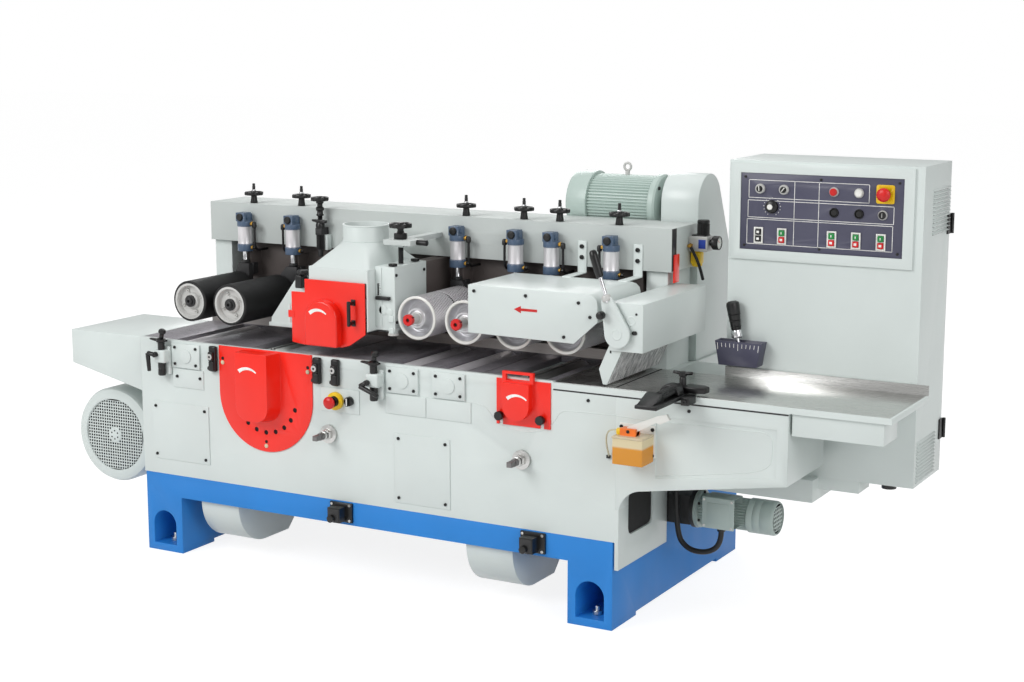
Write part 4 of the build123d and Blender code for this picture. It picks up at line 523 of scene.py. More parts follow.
class Finish:
    """Material in the making, on the object's own coordinates"""

    def __init__(self, name, roughness, metallic=0.0):
        self.material = bpy.data.materials.new(name)
        self.material.use_nodes = True
        self.nodes = self.material.node_tree.nodes
        self.link = self.material.node_tree.links.new
        self.inputs = self.nodes["Principled BSDF"].inputs
        put(self.inputs, {"Roughness": roughness, "Metallic": metallic})
        self.coords = self.nodes.new("ShaderNodeTexCoord").outputs["Object"]

    def noise(self, scale, detail=3.0, stretch=None):
        """Noise factor, stretched along an axis if asked."""
        noise = self.nodes.new("ShaderNodeTexNoise")
        put(noise.inputs, {"Scale": scale, "Detail": detail})
        place = self.coords
        if stretch:
            mapping = self.nodes.new("ShaderNodeMapping")
            mapping.inputs["Scale"].default_value = stretch
            self.link(place, mapping.inputs["Vector"])
            place = mapping.outputs["Vector"]
        self.link(place, noise.inputs["Vector"])
        return noise.outputs["Fac"]

    def tint(self, factor, low, high, start=0.3, end=0.7):
        """Base colour from one colour to another, driven by a factor."""
        ramp = self.nodes.new("ShaderNodeValToRGB")
        first, last = ramp.color_ramp.elements
        first.position, first.color = start, low
        last.position, last.color = end, high
        self.link(factor, ramp.inputs["Fac"])
        self.link(ramp.outputs["Color"], self.inputs["Base Color"])

    def sheen(self, factor, low, high):
        """Roughness between two values, driven by a factor."""
        span = self.nodes.new("ShaderNodeMapRange")
        put(span.inputs, {"To Min": low, "To Max": high})
        self.link(factor, span.inputs["Value"])
        self.link(span.outputs["Result"], self.inputs["Roughness"])

    def relief(self, factor, strength, depth):
        """Bump from a factor."""
        bump = self.nodes.new("ShaderNodeBump")
        put(bump.inputs, {"Strength": strength, "Distance": depth})
        self.link(factor, bump.inputs["Height"])
        self.link(bump.outputs["Normal"], self.inputs["Normal"])


@once
def paint(name, colour, roughness=0.38, peel=0.12, mottle=0.03, gloss=0.18):
    """Sprayed enamel: faint cloudy tone, orange-peel skin and an uneven gloss."""
    finish = Finish(name, roughness)
    base = linear(colour)
    finish.tint(finish.noise(4.0, 5.0), shade(base, 1 - mottle), shade(base, 1 + mottle))
    finish.sheen(finish.noise(14.0, stretch=(1.0, 1.0, 0.35)), roughness - 0.07, roughness + 0.09)
    finish.relief(finish.noise(420.0, 2.0), peel, 0.0006)
    put(finish.inputs, {"Coat Weight": gloss, "Coat Roughness": 0.16})
    return finish.material


@once
def steel(name, colour, roughness=0.3, stretch=(2.0, 60.0, 60.0), depth=0.00025, contrast=0.16, metal=1.0):
    """Ground steel: fine scratches along one axis in tone, gloss and relief."""
    finish = Finish(name, roughness, metal)
    base = linear(colour)
    lines = finish.noise(18.0, 6.0, stretch)
    finish.tint(lines, shade(base, 1 - contrast), shade(base, 1 + contrast * 0.6))
    finish.sheen(lines, roughness - 0.08, roughness + 0.12)
    finish.relief(lines, 0.2, depth)
    return finish.material


@once
def moulded(name, colour, roughness=0.45, grain=900.0, strength=0.25):
    """Moulded plastic or rubber with a fine grain."""
    finish = Finish(name, roughness)
    base = linear(colour)
    cloud = finish.noise(30.0, 4.0)
    finish.tint(cloud, shade(base, 0.85), shade(base, 1.2))
    finish.sheen(cloud, roughness - 0.06, roughness + 0.1)
    finish.relief(finish.noise(grain, 2.0), strength, 0.0003)
    return finish.material


@once
def clear_plastic(name, colour, roughness=0.08, weight=0.85):
    """See-through plastic with a slight haze."""
    finish = Finish(name, roughness)
    base = linear(colour)
    finish.tint(finish.noise(25.0), shade(base, 0.9), shade(base, 1.05))
    put(finish.inputs, {"Transmission Weight": weight, "IOR": 1.3})
    return finish.material


@once
def filled_tank(name, fluid, air, level):
    """Clear tank that shows its fluid up to a level in metres and pale plastic above it."""
    finish = Finish(name, 0.12)
    parts = finish.nodes.new("ShaderNodeSeparateXYZ")
    finish.link(finish.coords, parts.inputs["Vector"])
    span = finish.nodes.new("ShaderNodeMapRange")
    put(span.inputs, {"From Min": level - 0.05, "From Max": level + 0.05})
    finish.link(parts.outputs["Z"], span.inputs["Value"])
    finish.tint(span.outputs["Result"], shade(linear(fluid), 1.0), shade(linear(air), 1.0), 0.48, 0.54)
    finish.sheen(finish.noise(25.0), 0.08, 0.2)
    finish.inputs["Transmission Weight"].default_value = 0.15
    return finish.material


def enamel(setting, name, *looks):
    """Sprayed enamel in a colour that the scene's settings hold."""
    return paint(name, getattr(bpy.context.scene.planer_finishes, setting), *looks)


mint = partial(enamel, "body", "pale_mint_enamel")
blue = partial(enamel, "base", "blue_base_enamel", 0.52, 0.18, 0.05, 0.03)
red = partial(enamel, "guard", "red_guard_enamel", 0.3, 0.06, 0.04)
slate = partial(enamel, "panel", "slate_panel_enamel", 0.45, 0.3, 0.06)
motor_grey = partial(enamel, "motor", "motor_grey_enamel", 0.42, 0.25, 0.05)
white = partial(paint, "white_enamel", (0.90, 0.90, 0.88), 0.32, 0.06)
cap_blue = partial(paint, "slate_blue_cap", (0.29, 0.37, 0.47), 0.4, 0.1, 0.06)
gear_green = partial(paint, "gear_motor_enamel", (0.73, 0.79, 0.77), 0.42, 0.25, 0.06)
bright = partial(steel, "bright_ground_steel", (0.80, 0.80, 0.79), 0.3)
chrome = partial(steel, "chrome_rod", (0.86, 0.86, 0.87), 0.14, (30.0, 30.0, 4.0), 0.00005, 0.05)
bed_steel = partial(steel, "dark_bed_steel", (0.64, 0.625, 0.65), 0.28, (1.5, 50.0, 50.0), 0.0004, 0.4, 0.6)
table_steel = partial(
    steel, "polished_table_steel", (0.82, 0.82, 0.81), 0.26, (1.2, 70.0, 70.0), 0.00015, 0.1)
roller_steel = partial(
    steel, "serrated_roller_steel", (0.88, 0.87, 0.88), 0.36, (40.0, 3.0, 40.0), 0.0002, 0.12, 0.5)
fence_steel = partial(steel, "ground_fence_steel", (0.66, 0.64, 0.63), 0.3, (1.2, 60.0, 60.0), 0.0002, 0.14)
hub_grey = partial(paint, "silver_hub_enamel", (0.76, 0.76, 0.75), 0.36, 0.1, 0.05)
blue_mark = partial(moulded, "blue_patch", (0.10, 0.24, 0.62), 0.45)
# Dark cast iron, also used as painted shade: on the gearbox behind the gear motor and on the strip under the
# table's rim
dark_iron_and_shade = partial(moulded, "dark_cast_iron_and_painted_shade", (0.15, 0.15, 0.155), 0.5, 500.0, 0.4)
rubber = partial(moulded, "roller_rubber", (0.055, 0.055, 0.06), 0.55, 700.0, 0.35)
black = partial(moulded, "black_plastic", (0.034, 0.034, 0.037), 0.33)
brass = partial(steel, "brass_fitting", (0.80, 0.62, 0.30), 0.28, (40.0, 40.0, 40.0), 0.0001, 0.1)
yellow = partial(moulded, "yellow_plastic", (0.93, 0.76, 0.08), 0.35)
signal_red = partial(moulded, "signal_red_plastic", (0.80, 0.08, 0.07), 0.3)
signal_green = partial(moulded, "signal_green_plastic", (0.10, 0.52, 0.24), 0.3)
signal_white = partial(moulded, "signal_white_plastic", (0.90, 0.90, 0.88), 0.35)
cream = partial(moulded, "cream_washer", (0.82, 0.78, 0.66), 0.5)
mark_white = partial(moulded, "white_marking", (0.93, 0.93, 0.91), 0.5, 300.0, 0.05)
finger_steel = partial(
    steel, "brushed_finger_steel", (0.95, 0.97, 0.97), 0.34, (4.0, 6.0, 0.35), 0.0004, 0.7, 0.1)
orange = partial(moulded, "orange_cap", (0.95, 0.45, 0.08), 0.35)
beam_grey = partial(paint, "beam_enamel", (0.775, 0.80, 0.79), 0.66, 0.12, 0.03, 0.0)
barrel_alloy = partial(steel, "barrel_alloy", (0.88, 0.87, 0.88), 0.34, (40.0, 40.0, 3.0), 0.0001, 0.06, 0.55)
housing_brown = partial(paint, "housing_enamel", (0.33, 0.30, 0.29), 0.6, 0.3, 0.12, 0.02)
dish_steel = partial(steel, "dish_steel", (0.80, 0.80, 0.81), 0.32, (30.0, 30.0, 30.0), 0.0001, 0.1, 0.7)
oil_tank = partial(filled_tank, "oil_in_clear_tank", (0.90, 0.60, 0.14), (0.92, 0.86, 0.70), 0.588)
shaft_steel = partial(steel, "dark_shaft_steel", (0.50, 0.49, 0.49), 0.34)
reservoir = partial(clear_plastic, "clear_reservoir", (0.92, 0.86, 0.74), 0.1, 0.3)
hose_clear = partial(clear_plastic, "clear_hose", (0.86, 0.84, 0.74), 0.15, 0.3)
shadow_black = partial(moulded, "unlit_recess", (0.02, 0.02, 0.022), 0.8, 200.0, 0.1)


# Settings


class PlanerFinishes(bpy.types.PropertyGroup):
    """Colours of the enamels"""

    body: FloatVectorProperty(
        name="Body enamel", description="Pale enamel of body, beam and cabinet", subtype="COLOR_GAMMA",
        default=(0.835, 0.868, 0.858), min=0, max=1)
    base: FloatVectorProperty(
        name="Base enamel", description="Blue enamel of the base", subtype="COLOR_GAMMA",
        default=(0.13, 0.51, 0.83), min=0, max=1)
    guard: FloatVectorProperty(
        name="Guard enamel", description="Red enamel of the guards", subtype="COLOR_GAMMA",
        default=(0.96, 0.13, 0.05), min=0, max=1)
    panel: FloatVectorProperty(
        name="Panel enamel", description="Slate enamel of the control panel", subtype="COLOR_GAMMA",
        default=(0.27, 0.27, 0.35), min=0, max=1)
    motor: FloatVectorProperty(
        name="Motor enamel", description="Grey enamel of the motors", subtype="COLOR_GAMMA",
        default=(0.71, 0.775, 0.75), min=0, max=1)


class PlanerSizes(bpy.types.PropertyGroup):
    """Counts and sizes of details, and the lens"""

    roller_teeth: IntProperty(
        name="Roller teeth", description="Serrations round a steel feed roller", default=58, min=24, max=160)
    wheel_lobes: IntProperty(
        name="Wheel lobes", description="Grip lobes on a handwheel", default=8, min=4, max=16)
    motor_fins: IntProperty(
        name="Motor fins", description="Cooling fins round the feed motor", default=56, min=12, max=80)
    louvre_count: IntProperty(
        name="Louvres", description="Louvres in each group on the cabinet", default=12, min=4, max=24)
    lens: FloatProperty(
        name="Lens", description="Camera focal length on a 36 mm sensor", default=63.19, min=20, max=200,
        unit="CAMERA")
    sheet_edge: FloatProperty(
        name="Sheet edge", description="Softened edge of the sheet metal, in millimetres", default=2.0,
        min=0.2, max=8)


def sizes():
    """The sizes held by the scene's settings."""
    return bpy.context.scene.planer_sizes


# Stage


class PLANER_OT_stage(bpy.types.Operator):
    """Floor, light and camera"""

    bl_idname = "planer.stage"
    bl_label = "Stage"

    def seen_by(self, tree, *rays):
        """Factor that is 1 for the named kinds of ray."""
        path = tree.nodes.new("ShaderNodeLightPath")
        seen = path.outputs[rays[0]]
        for ray in rays[1:]:
            larger = tree.nodes.new("ShaderNodeMath")
            larger.operation = "MAXIMUM"
            tree.links.new(seen, larger.inputs[0])
            tree.links.new(path.outputs[ray], larger.inputs[1])
            seen = larger.outputs[0]
        return seen

    def floor(self):
        """Pale floor that glows towards the camera, so that it fades into the background."""
        clear()
        bpy.ops.mesh.primitive_plane_add(size=60, location=(0, 0, -0.0005))
        floor = bpy.context.object
        floor.name = "floor"
        ground = bpy.data.materials.new("pale_floor")
        ground.use_nodes = True
        tree = ground.node_tree
        shader = tree.nodes["Principled BSDF"]
        put(shader.inputs, {"Base Color": (0.66, 0.66, 0.66, 1), "Roughness": 0.9})
        glow = tree.nodes.new("ShaderNodeEmission")
        glow.inputs["Strength"].default_value = 1.53
        share = tree.nodes.new("ShaderNodeMath")
        share.operation = "MULTIPLY"
        share.inputs[1].default_value = 0.56
        seen = self.seen_by(tree, "Is Camera Ray", "Is Glossy Ray", "Is Transmission Ray")
        tree.links.new(seen, share.inputs[0])
        blend = tree.nodes.new("ShaderNodeMixShader")
        for source, socket in zip((share, shader, glow), blend.inputs):
            tree.links.new(source.outputs[0], socket)
        tree.links.new(blend.outputs[0], tree.nodes["Material Output"].inputs["Surface"])
        coat(floor, ground)

    def sky(self):
        """White background, which lights the scene less than the camera sees."""
        world = bpy.data.worlds.new("studio")
        world.use_nodes = True
        tree = world.node_tree
        sky = tree.nodes["Background"]
        sky.inputs["Color"].default_value = (1, 1, 1, 1)
        strength = tree.nodes.new("ShaderNodeMapRange")
        put(strength.inputs, {"To Min": 0.46, "To Max": 1.0})
        tree.links.new(self.seen_by(tree, "Is Camera Ray", "Is Transmission Ray"), strength.inputs["Value"])
        tree.links.new(strength.outputs["Result"], sky.inputs["Strength"])
        return world

    def execute(self, context):
        scene = context.scene
        scene.view_settings.view_transform = "Standard"
        self.floor()
        scene.world = self.sky()
        for name, place, size, power in (
            ("key_light", (-2.6, -6.0, 4.6), 3.6, 280),
            ("fill_light", (5.5, -3.2, 3.2), 3.2, 90),
            ("top_light", (0.4, 1.0, 5.6), 4.0, 60),
            ("back_light", (-3.0, 5.0, 3.5), 3.0, 90),
        ):
            lamp = bpy.data.lights.new(name, "AREA")
            lamp.size = size
            lamp.energy = power
            light = bpy.data.objects.new(name, lamp)
            light.location = place
            light.rotation_euler = (Vector((0.2, 0, 0.7)) - Vector(place)).to_track_quat("-Z", "Y").to_euler()
            context.collection.objects.link(light)

        view = bpy.data.cameras.new("photo_view")
        view.sensor_width = 36
        view.lens = sizes().lens
        camera = bpy.data.objects.new("photo_view", view)
        camera.location = at(*CAMERA_PLACE)
        camera.rotation_euler = (math.radians(90 - CAMERA_TILT), 0, math.radians(CAMERA_TURN))
        context.collection.objects.link(camera)
        scene.camera = camera
        return {"FINISHED"}


# Conduit


class PLANER_OT_conduit(bpy.types.Operator):
    """Free black conduit of the gear motor"""

    bl_idname = "planer.conduit"
    bl_label = "Conduit"

    def execute(self, context):
        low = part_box("motor_conduit")[0]
        route = [(951, 374), (951, 232), (993, 182), (1061, 182), (1103, 216), (1103, 258)]
        conduit = hose_line("motor_conduit_line", front_points(route, 325), 8.5, 6, 24)
        conduit.data.materials.append(rubber())
        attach(conduit, "frame")
        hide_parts("motor_conduit")
        if low.z < 0.1:
            raise RuntimeError("the conduit hangs lower than its route")
        glands = [
            turned([(9, 0), (15, 0), (15, 10), (12, 16), (9, 16)], at(951, 325, 374), UP, black(), 6, 0.6),
            turned(
                [(9, -22), (12, -22), (15, -16), (15, -6), (9, -6)], at(1103, 325, 280), UP, black(), 6, 0.6),
        ]
        assemble("conduit_glands", "frame", glands)
        return {"FINISHED"}


# Frame


class PLANER_OT_frame(bpy.types.Operator):
    """Base, body, beam, housings, covers and chutes with softened sheet edges"""

    bl_idname = "planer.frame"
    bl_label = "Frame"

    BODY_SEAM = (
        (411, 649), (457, 647), (478, 613), (520, 586), (600, 576), (668, 592), (699, 626), (712, 652),
        (740, 660), (896, 661),
    )
    ARM_SEAM = ((1028, 657), (1300, 661), (1382, 661), (1384, 610), (1377, 550), (1200, 521), (1028, 494))
    ARROW = ((554, 950), (578, 961), (578, 954), (633, 954), (633, 946), (578, 946), (578, 939))

    def execute(self, context):
        edge = sizes().sheet_edge
        for node, finish, slot, width in (
            ("base_frame", blue(), "blue_paint", edge * 1.5),
            ("machine_body", mint(), "grey_paint", edge),
            ("infeed_bracket", mint(), "grey_paint", edge),
            ("outfeed_table", mint(), "grey_paint", edge),
            ("feed_beam", beam_grey(), "grey_paint", edge),
            ("drive_housing", housing_brown(), "dark_steel", edge),
            ("roller_cover", mint(), "grey_paint", edge * 0.9),
            ("infeed_hood", mint(), "grey_paint", edge),
            ("belt_guard", mint(), "grey_paint", edge),
            ("front_plates", mint(), "grey_paint", 0.6),
            ("chip_chutes", mint(), "grey_paint", 1.0),
        ):
            parts = [dressed(node, finish, width)]
            if node == "machine_body":
                parts.append(tube(front_points(self.BODY_SEAM, 0.4), 1.6, mint()))
                pane = [at(902, d, z) for d, z in round_rect(69, 241, 282, 416, 25)]
                parts.append(plate(pane, RIGHT * 0.002, shadow_black(), 0.3, 1))
            if node == "infeed_bracket":
                # Dark strip under the table's rim: the parting line, with painted shade of the gap below the
                # rim
                parts.append(slab(690, 1430, -0.6, 0.4, 716.5, 721, dark_iron_and_shade(), 0))
                parts.append(tube(front_points([(898, 661), (1024, 657)], 0.4), 1.6, mint()))
                parts.append(tube(front_points(self.ARM_SEAM, 3.4), 1.6, mint()))
            if node == "infeed_hood":
                ring = [(9, 0), (15, 0), (15, 0.8), (13.5, 1.4), (10.5, 1.4), (9, 0.8)]
                parts.append(turned(ring, at(941, 4, 944), FORTH, mint(), 36))
                parts.append(pin(958, 965, 4.5, 2, 3.6, dark_iron_and_shade(), 0.4, 16))
                parts.append(plate(
                    front_points(round_rect(945, 961, 904, 916, 5.9), 4.5), BACK * -0.005, black(), 0.8))
            if node == "roller_cover":
                parts.append(plate(front_points(self.ARROW, 2.2), BACK * 0.0009, signal_red(), 0.1, 1))
            stand_in(node, parts)
        return {"FINISHED"}


# Bed


class PLANER_OT_bed(bpy.types.Operator):
    """Bed plates, guide fence, bed rollers and cutterheads"""

    bl_idname = "planer.bed"
    bl_label = "Bed"

    def execute(self, context):
        plates = dressed("bed_plates", bed_steel(), 0.8)
        coat_faces(plates, fence_steel(), lambda x, d, z, n: z > 744)
        stand_in("bed_plates", [plates])
        for number in (1, 2, 3):
            node = f"bed_roller_{number}"
            stand_in(node, [dressed(node, roller_steel(), 1.5)])
        for node in ("lower_cutterhead", "rip_arbor", "upper_cutterhead"):
            x, depth, z = middle(node)
            head = dressed(node, bright(), 0.6)
            coat_faces(
                head, dark_iron_and_shade(),
                lambda fx, fd, fz, n: 30 < math.hypot(fx - x, fz - z) < 53 and abs(n.y) < 0.5,
            )
            parts = [head]
            for i in range(4):
                turn = math.radians(90 * i + 12)
                way = Vector((math.cos(turn), 0, math.sin(turn)))
                for run in range(5):
                    place = at(x, depth - 110 + 50 * run, z) + way * 0.056
                    parts.append(socket_screw(place, way, 4.5, 1.6, dark_iron_and_shade(), 12))
            stand_in(node, parts)
        return {"FINISHED"}


# Infeed table


class PLANER_OT_infeed_table(bpy.types.Operator):
    """Infeed table with polished top, painted rim and the black side guide"""

    bl_idname = "planer.infeed_table"
    bl_label = "Infeed table"

    def execute(self, context):
        table = dressed("infeed_table", mint(), 1.2)
        trimmed(table, lambda x, d, z: d < -0.5 or (1055 < x < 1185 and d < 120 and z > 740.4))
        coat_faces(table, table_steel(), lambda x, d, z, n: z > 741 and d > 340)
        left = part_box("infeed_table")[0].x / MM
        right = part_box("infeed_table")[1].x / MM
        oval = [(1092 + dx, 752 + dz) for dx, dz in ring_points(32, 13, 0, 180)]
        wedge = ((-221, 751), (-156, 776), (-138, 776), (-138, 751))
        wing = ((1106, -4), (1150, -6), (1176, 2), (1180, 30), (1160, 46), (1106, 46))
        parts = [
            table,
            slab(left + 1, right - 8, 8, 343.4, 738, 740.6, table_steel(), 0.4),
            slab(884.5, 890, 9, 343, 740, 740.9, shadow_black(), 0),
            slab(1060, 1128, -222, 100, 740.6, 752, black(), 3.0, 3),
            plate([at(1064, d, z) for d, z in wedge], RIGHT * 0.05, black(), 3.0),
            finned(at(1102, -152, 768), BACK * 0.142, 13, 1.8, 14, black()),
            plate(front_points(oval, -60), BACK * 0.04, black(), 4.0, 3),
            solid(
                [(16, 0), (16, 4), (10, 8), (10, 38), (8, 42), (12, 45), (12, 54), (8, 58)],
                at(1100, 20, 751), UP, black(), 28),
            bar(at(1070, 20, 806), at(1096, 20, 803), 4.5, black(), 1.5, 16, 6),
            bar(at(1104, 20, 803), at(1130, 20, 806), 6, black(), 1.5, 16, 4.5),
            plate([at(x, d, 752) for x, d in wing], UP * 0.018, black(), 4.0, 3),
            slab(1127, 1153, -58, -6, 726, 750, black(), 3.0, 3),
            socket_screw(at(1140, -58, 738), FORTH, 7, 5, black()),
        ]
        stand_in("infeed_table", parts)
        return {"FINISHED"}


# Feed rollers


class PLANER_OT_feed_rollers(bpy.types.Operator):
    """Rubber and serrated feed rollers with their carriages"""

    bl_idname = "planer.feed_rollers"
    bl_label = "Feed rollers"

    def rubber_roller(self, x, z):
        """Rubber sleeve on a dished hub with bolts and a centre nut."""
        face = at(x, ROLLER_FACE, z)
        parts = [
            turned(
                [(59.6, 0), (66.5, 0), (69, 2.5), (69, 272.5), (66.5, 275), (59.6, 275)],
                face, BACK, rubber(), 72),
            turned(
                [
                    (59.8, 1.5), (53, 1.5), (51, 4), (49.5, 16), (30, 18), (26, 9), (19, 7), (15, 7),
                    (15, 275), (59.8, 275),
                ],
                face, BACK, hub_grey(), 72),
            turned([(59.7, 0.4), (60.6, -0.4), (57, -0.6), (53.5, 0.2), (53, 3)], face, BACK, bright(), 72),
            solid(
                [(5, 0), (5.6, -7), (9, -8), (13, -5.5), (13, 0), (20, 0.5), (20, 8)],
                face, BACK, dark_iron_and_shade(), 40),
            pin(x, z, 345, 369, 16, bright(), 1.0, 32),
        ]
        for dx, dz in ring_points(39, 4, 25):
            parts.append(socket_screw(at(x + dx, 87.5, z + dz), FORTH, 5.5, 6, bright()))
        return parts

    def steel_roller(self, x, z):
        """Two serrated bands, a white dished end, the stub and its red cap."""
        face = at(x, ROLLER_FACE, z)
        teeth = sizes().roller_teeth
        dish = [(58.8 - 2.4 * i, 3 + 24 * math.sin(math.pi * i / 10)) for i in range(11)]
        dish += [(33, -1), (31, -3), (26, -3), (24, 2)]
        parts = []
        for d0, d1, caps in ((73, 203, False), (212, 345, True)):
            ring = []
            for i in range(2 * teeth):
                turn = math.pi * i / teeth
                reach = 66.6 if i % 2 else 62.4
                ring.append(at(x + reach * math.cos(turn), d0, z + reach * math.sin(turn)))
            parts.append(toothed(ring, at(0, d1, 0) - at(0, d0, 0), roller_steel(), 36, 1.03, 1.1, caps))
        parts += [
            pin(x, z, 200, 213, 63, dark_iron_and_shade(), 0.5, 64),
            turned(
                [
                    (69, 4), (69, -0.4), (67.6, -1.4), (62, -1.4), (60.4, 0), (59, 5), (58.4, 26), (62, 26),
                    (62, 4),
                ],
                face, BACK, white(), 72),
            turned(dish + [(13, -1), (13, 34), (58.8, 34)], face, BACK, dish_steel(), 72),
            solid([(16, -46), (16, -4), (20, -2), (20, 6)], face, BACK, hub_grey(), 40),
            solid(
                [(6, 9), (6.4, 0), (16, 0), (18, 2), (18, 13), (16.5, 16)],
                at(x, 16, z), BACK, signal_red(), 36),
            pin(x, z, 21, 25.5, 6.2, shadow_black(), 0.2, 6),
            pin(x, z, 345, 369, 16, bright(), 1.0, 32),
        ]
        for dx, dz in ring_points(17.6, 3, 30):
            parts.append(pin(x + dx, z + dz, 17.5, 30.5, 1.6, shadow_black(), 0.2, 8))
        return parts

    def execute(self, context):
        for number, (x, _, z) in enumerate(ROLLERS, 1):
            node = f"feed_roller_{number}"
            if number <= 2:
                stand_in(node, self.rubber_roller(x, z))
            else:
                stand_in(node, self.steel_roller(x, z))
            arm = f"roller_carriage_{number}"
            rod = CYLINDERS[number - 1]
            carriage = dressed(arm, dark_iron_and_shade(), 1.2)
            coat_faces(carriage, chrome(), lambda fx, fd, fz, n: fz > 974)
            parts = [
                carriage,
                turned(
                    [(9.3, 0), (15, 0), (16, 2), (16, 9), (13, 12), (9.3, 12)],
                    at(rod, ROW_DEPTH, 965.4), UP, dark_iron_and_shade(), 6, 0.8),
                turned(
                    [(16.3, 0), (33, 0), (35, -3), (24, -6), (16.3, -6)],
                    at(x, 347.6, z), BACK, dark_iron_and_shade(), 40),
            ]
            stand_in(arm, parts)
        return {"FINISHED"}


# Air cylinders


class PLANER_OT_cylinders(bpy.types.Operator):
    """Air cylinders with their fittings, hoses and the regulator"""

    bl_idname = "planer.cylinders"
    bl_label = "Air cylinders"

    def regulator(self):
        """Regulator with knob, gauge and yellow bowl guard at the beam's right end."""
        x, depth, z = 922, 545, 1112
        parts = [
            slab(x - 30, x + 34, depth - 24, depth + 24, z - 24, z + 24, hub_grey(), 4.0, 3),
            slab(x + 4, x + 28, depth - 25.2, depth - 20, z - 14, z + 14, blue_mark(), 0.6),
            slab(x - 22, x + 26, depth - 20, depth + 20, z + 22, z + 28, black(), 2.0),
            finned(at(x + 10, depth, z + 28), UP * 0.034, 19.5, 1.6, 26, black()),
            solid([(18, 0), (19.6, 3), (19.6, 9), (17, 12)], at(x + 10, depth, z + 62), UP, black(), 32),
            solid([(13, 0), (17, 4), (17, 46), (15, 50)], at(x - 10, depth, z - 74), UP, yellow(), 32),
            slab(x - 27, x + 7, depth - 17, depth + 17, z - 66, z - 26, yellow(), 6.0, 3),
            solid(
                [(10, 34), (10, 44), (20, 44), (22, 46), (22, 64), (20.5, 66), (19, 66), (19, 63)],
                at(x, depth, z + 4), RIGHT, black(), 40),
            shaft(x + 63.2, x + 64, depth, z + 4, 18.6, mark_white(), 0.1, 40),
            bar(at(x + 64, depth, z + 4), at(x + 64.6, depth - 9, z + 13), 0.8, signal_red(), 0, 8),
            tube(
                [
                    at(x - 22, depth - 24, z - 8), at(x - 18, depth - 34, z - 10),
                    at(x + 4, depth - 40, z - 40), at(x + 16, depth - 30, z - 80),
                    at(x + 16, depth - 12, z - 112),
                ],
                5, rubber()),
            solid([(8, 0), (8, 6), (6, 9), (6, 14)], at(x - 22, depth - 24, z - 6), FORTH, brass(), 6, 0.4),
        ]
        for turn in range(11):
            angle = math.radians(-45 + 27 * turn)
            tick = at(x + 64, depth + 15.5 * math.cos(angle), z + 4 + 15.5 * math.sin(angle))
            parts.append(bar(tick, tick + RIGHT * 0.0007, 0.9, black(), 0, 6))
        return parts

    def execute(self, context):
        barrels = dressed("cylinder_barrels", barrel_alloy(), 1.6)
        coat_faces(barrels, cap_blue(), lambda x, d, z, n: z < 1031.5 or z > 1096.5)
        coat_faces(barrels, black(), lambda x, d, z, n: d < 337.5 and z > 1115)
        band = [(25.2, 0), (26.2, 0), (26.2, 2), (25.2, 2)]
        parts = [barrels]
        for x in CYLINDERS:
            parts += [
                solid(
                    [(5, 4), (5.6, 0), (11.5, 0), (13, 2), (13, 6)],
                    at(x - 4, 331.5, 1127), BACK, black(), 28),
                solid([(9, 0), (9, 2), (6, 3)], at(x + 14, 358, 1127), RIGHT, cap_blue(), 28),
                turned(band, at(x, ROW_DEPTH, 1094), UP, cap_blue(), 48),
                turned(band, at(x, ROW_DEPTH, 1032), UP, cap_blue(), 48),
            ]
            for dx, dd in ring_points(22, 4, 45):
                parts.append(socket_screw(at(x + dx, ROW_DEPTH + dd, 1010), -UP, 3.4, 3, black(), 12))
        stand_in("cylinder_barrels", parts)

        lines = dressed("air_lines", rubber(), 0.0)
        trimmed(lines, lambda x, d, z: x > 885 or (z > 1098.2 and x < 885))
        parts = [lines]
        for place, x in enumerate(CYLINDERS):
            side = -1 if place % 2 else 1
            parts += [
                solid(
                    [(8, 0), (8, 7), (5.5, 9)],
                    at(x + side * 26, ROW_DEPTH, 1104), (side, 0, 0), brass(), 6, 0.5),
                shaft(x + side * 34, x + side * 46, ROW_DEPTH, 1104, 6.4, black(), 1.6, 20),
                turned(
                    [(0, 2), (6.4, 0), (8, -4), (8, -16), (6, -18), (0, -18)],
                    at(x + side * 41, ROW_DEPTH, 1108), UP, black(), 20),
                solid([(7, 0), (7, 6), (5, 8)], at(x + 26, ROW_DEPTH, 1021), RIGHT, brass(), 6, 0.5),
                solid([(5, 0), (6, 2), (6, 9), (4, 11)], at(x + 33, ROW_DEPTH, 1021), RIGHT, black(), 16),
            ]
        parts += self.regulator()
        stand_in("air_lines", parts)
        return {"FINISHED"}


# Handwheels


class PLANER_OT_handwheels(bpy.types.Operator):
    """Stop handwheels on the beam and the wheel of the upper head"""

    bl_idname = "planer.handwheels"
    bl_label = "Handwheels"

    def execute(self, context):
        lobes = sizes().wheel_lobes
        for number, x in enumerate(CYLINDERS, 1):
            node = f"stop_handwheel_{number}"
            parts = lobed_wheel(x, STOP_DEPTH, 1198, 34, 12, lobes, black())
            parts += [
                solid([(12.5, 0), (13, 2), (11, 14), (10, 28)], at(x, STOP_DEPTH, 1170.4), UP, black(), 32),
                solid([(8.5, 0), (8.5, 7), (7, 9)], at(x, STOP_DEPTH, 1209), UP, chrome(), 6, 0.5),
                solid(
                    [(5.5, 0), (5.5, 18), (4.5, 20), (5, 22), (5, 26), (3.5, 28)],
                    at(x, STOP_DEPTH, 1211), UP, black(), 20),
                threaded(x, STOP_DEPTH, 6, 1152.4, 1170, 2.0, dark_iron_and_shade()),
            ]
            stand_in(node, parts)

        x, depth = middle("head_handwheel")[:2]
        parts = lobed_wheel(x, depth, 1151, 38, 14, lobes, black())
        parts += [
            turned(
                [(0, 0), (21, 0), (22, 2), (22, 17), (19, 20), (12, 21), (10, 29), (14, 36), (0, 37)],
                at(x, depth, 1114.3), UP, black(), 8, 0.8),
            threaded(x, depth, 8.9, 996.2, 1114, 3.0, dark_iron_and_shade()),
            solid([(10, 0), (12, 2), (12, 9), (9, 12)], at(x, depth, 1153), UP, black(), 24),
        ]
        stand_in("head_handwheel", parts)
        return {"FINISHED"}


# Upper head


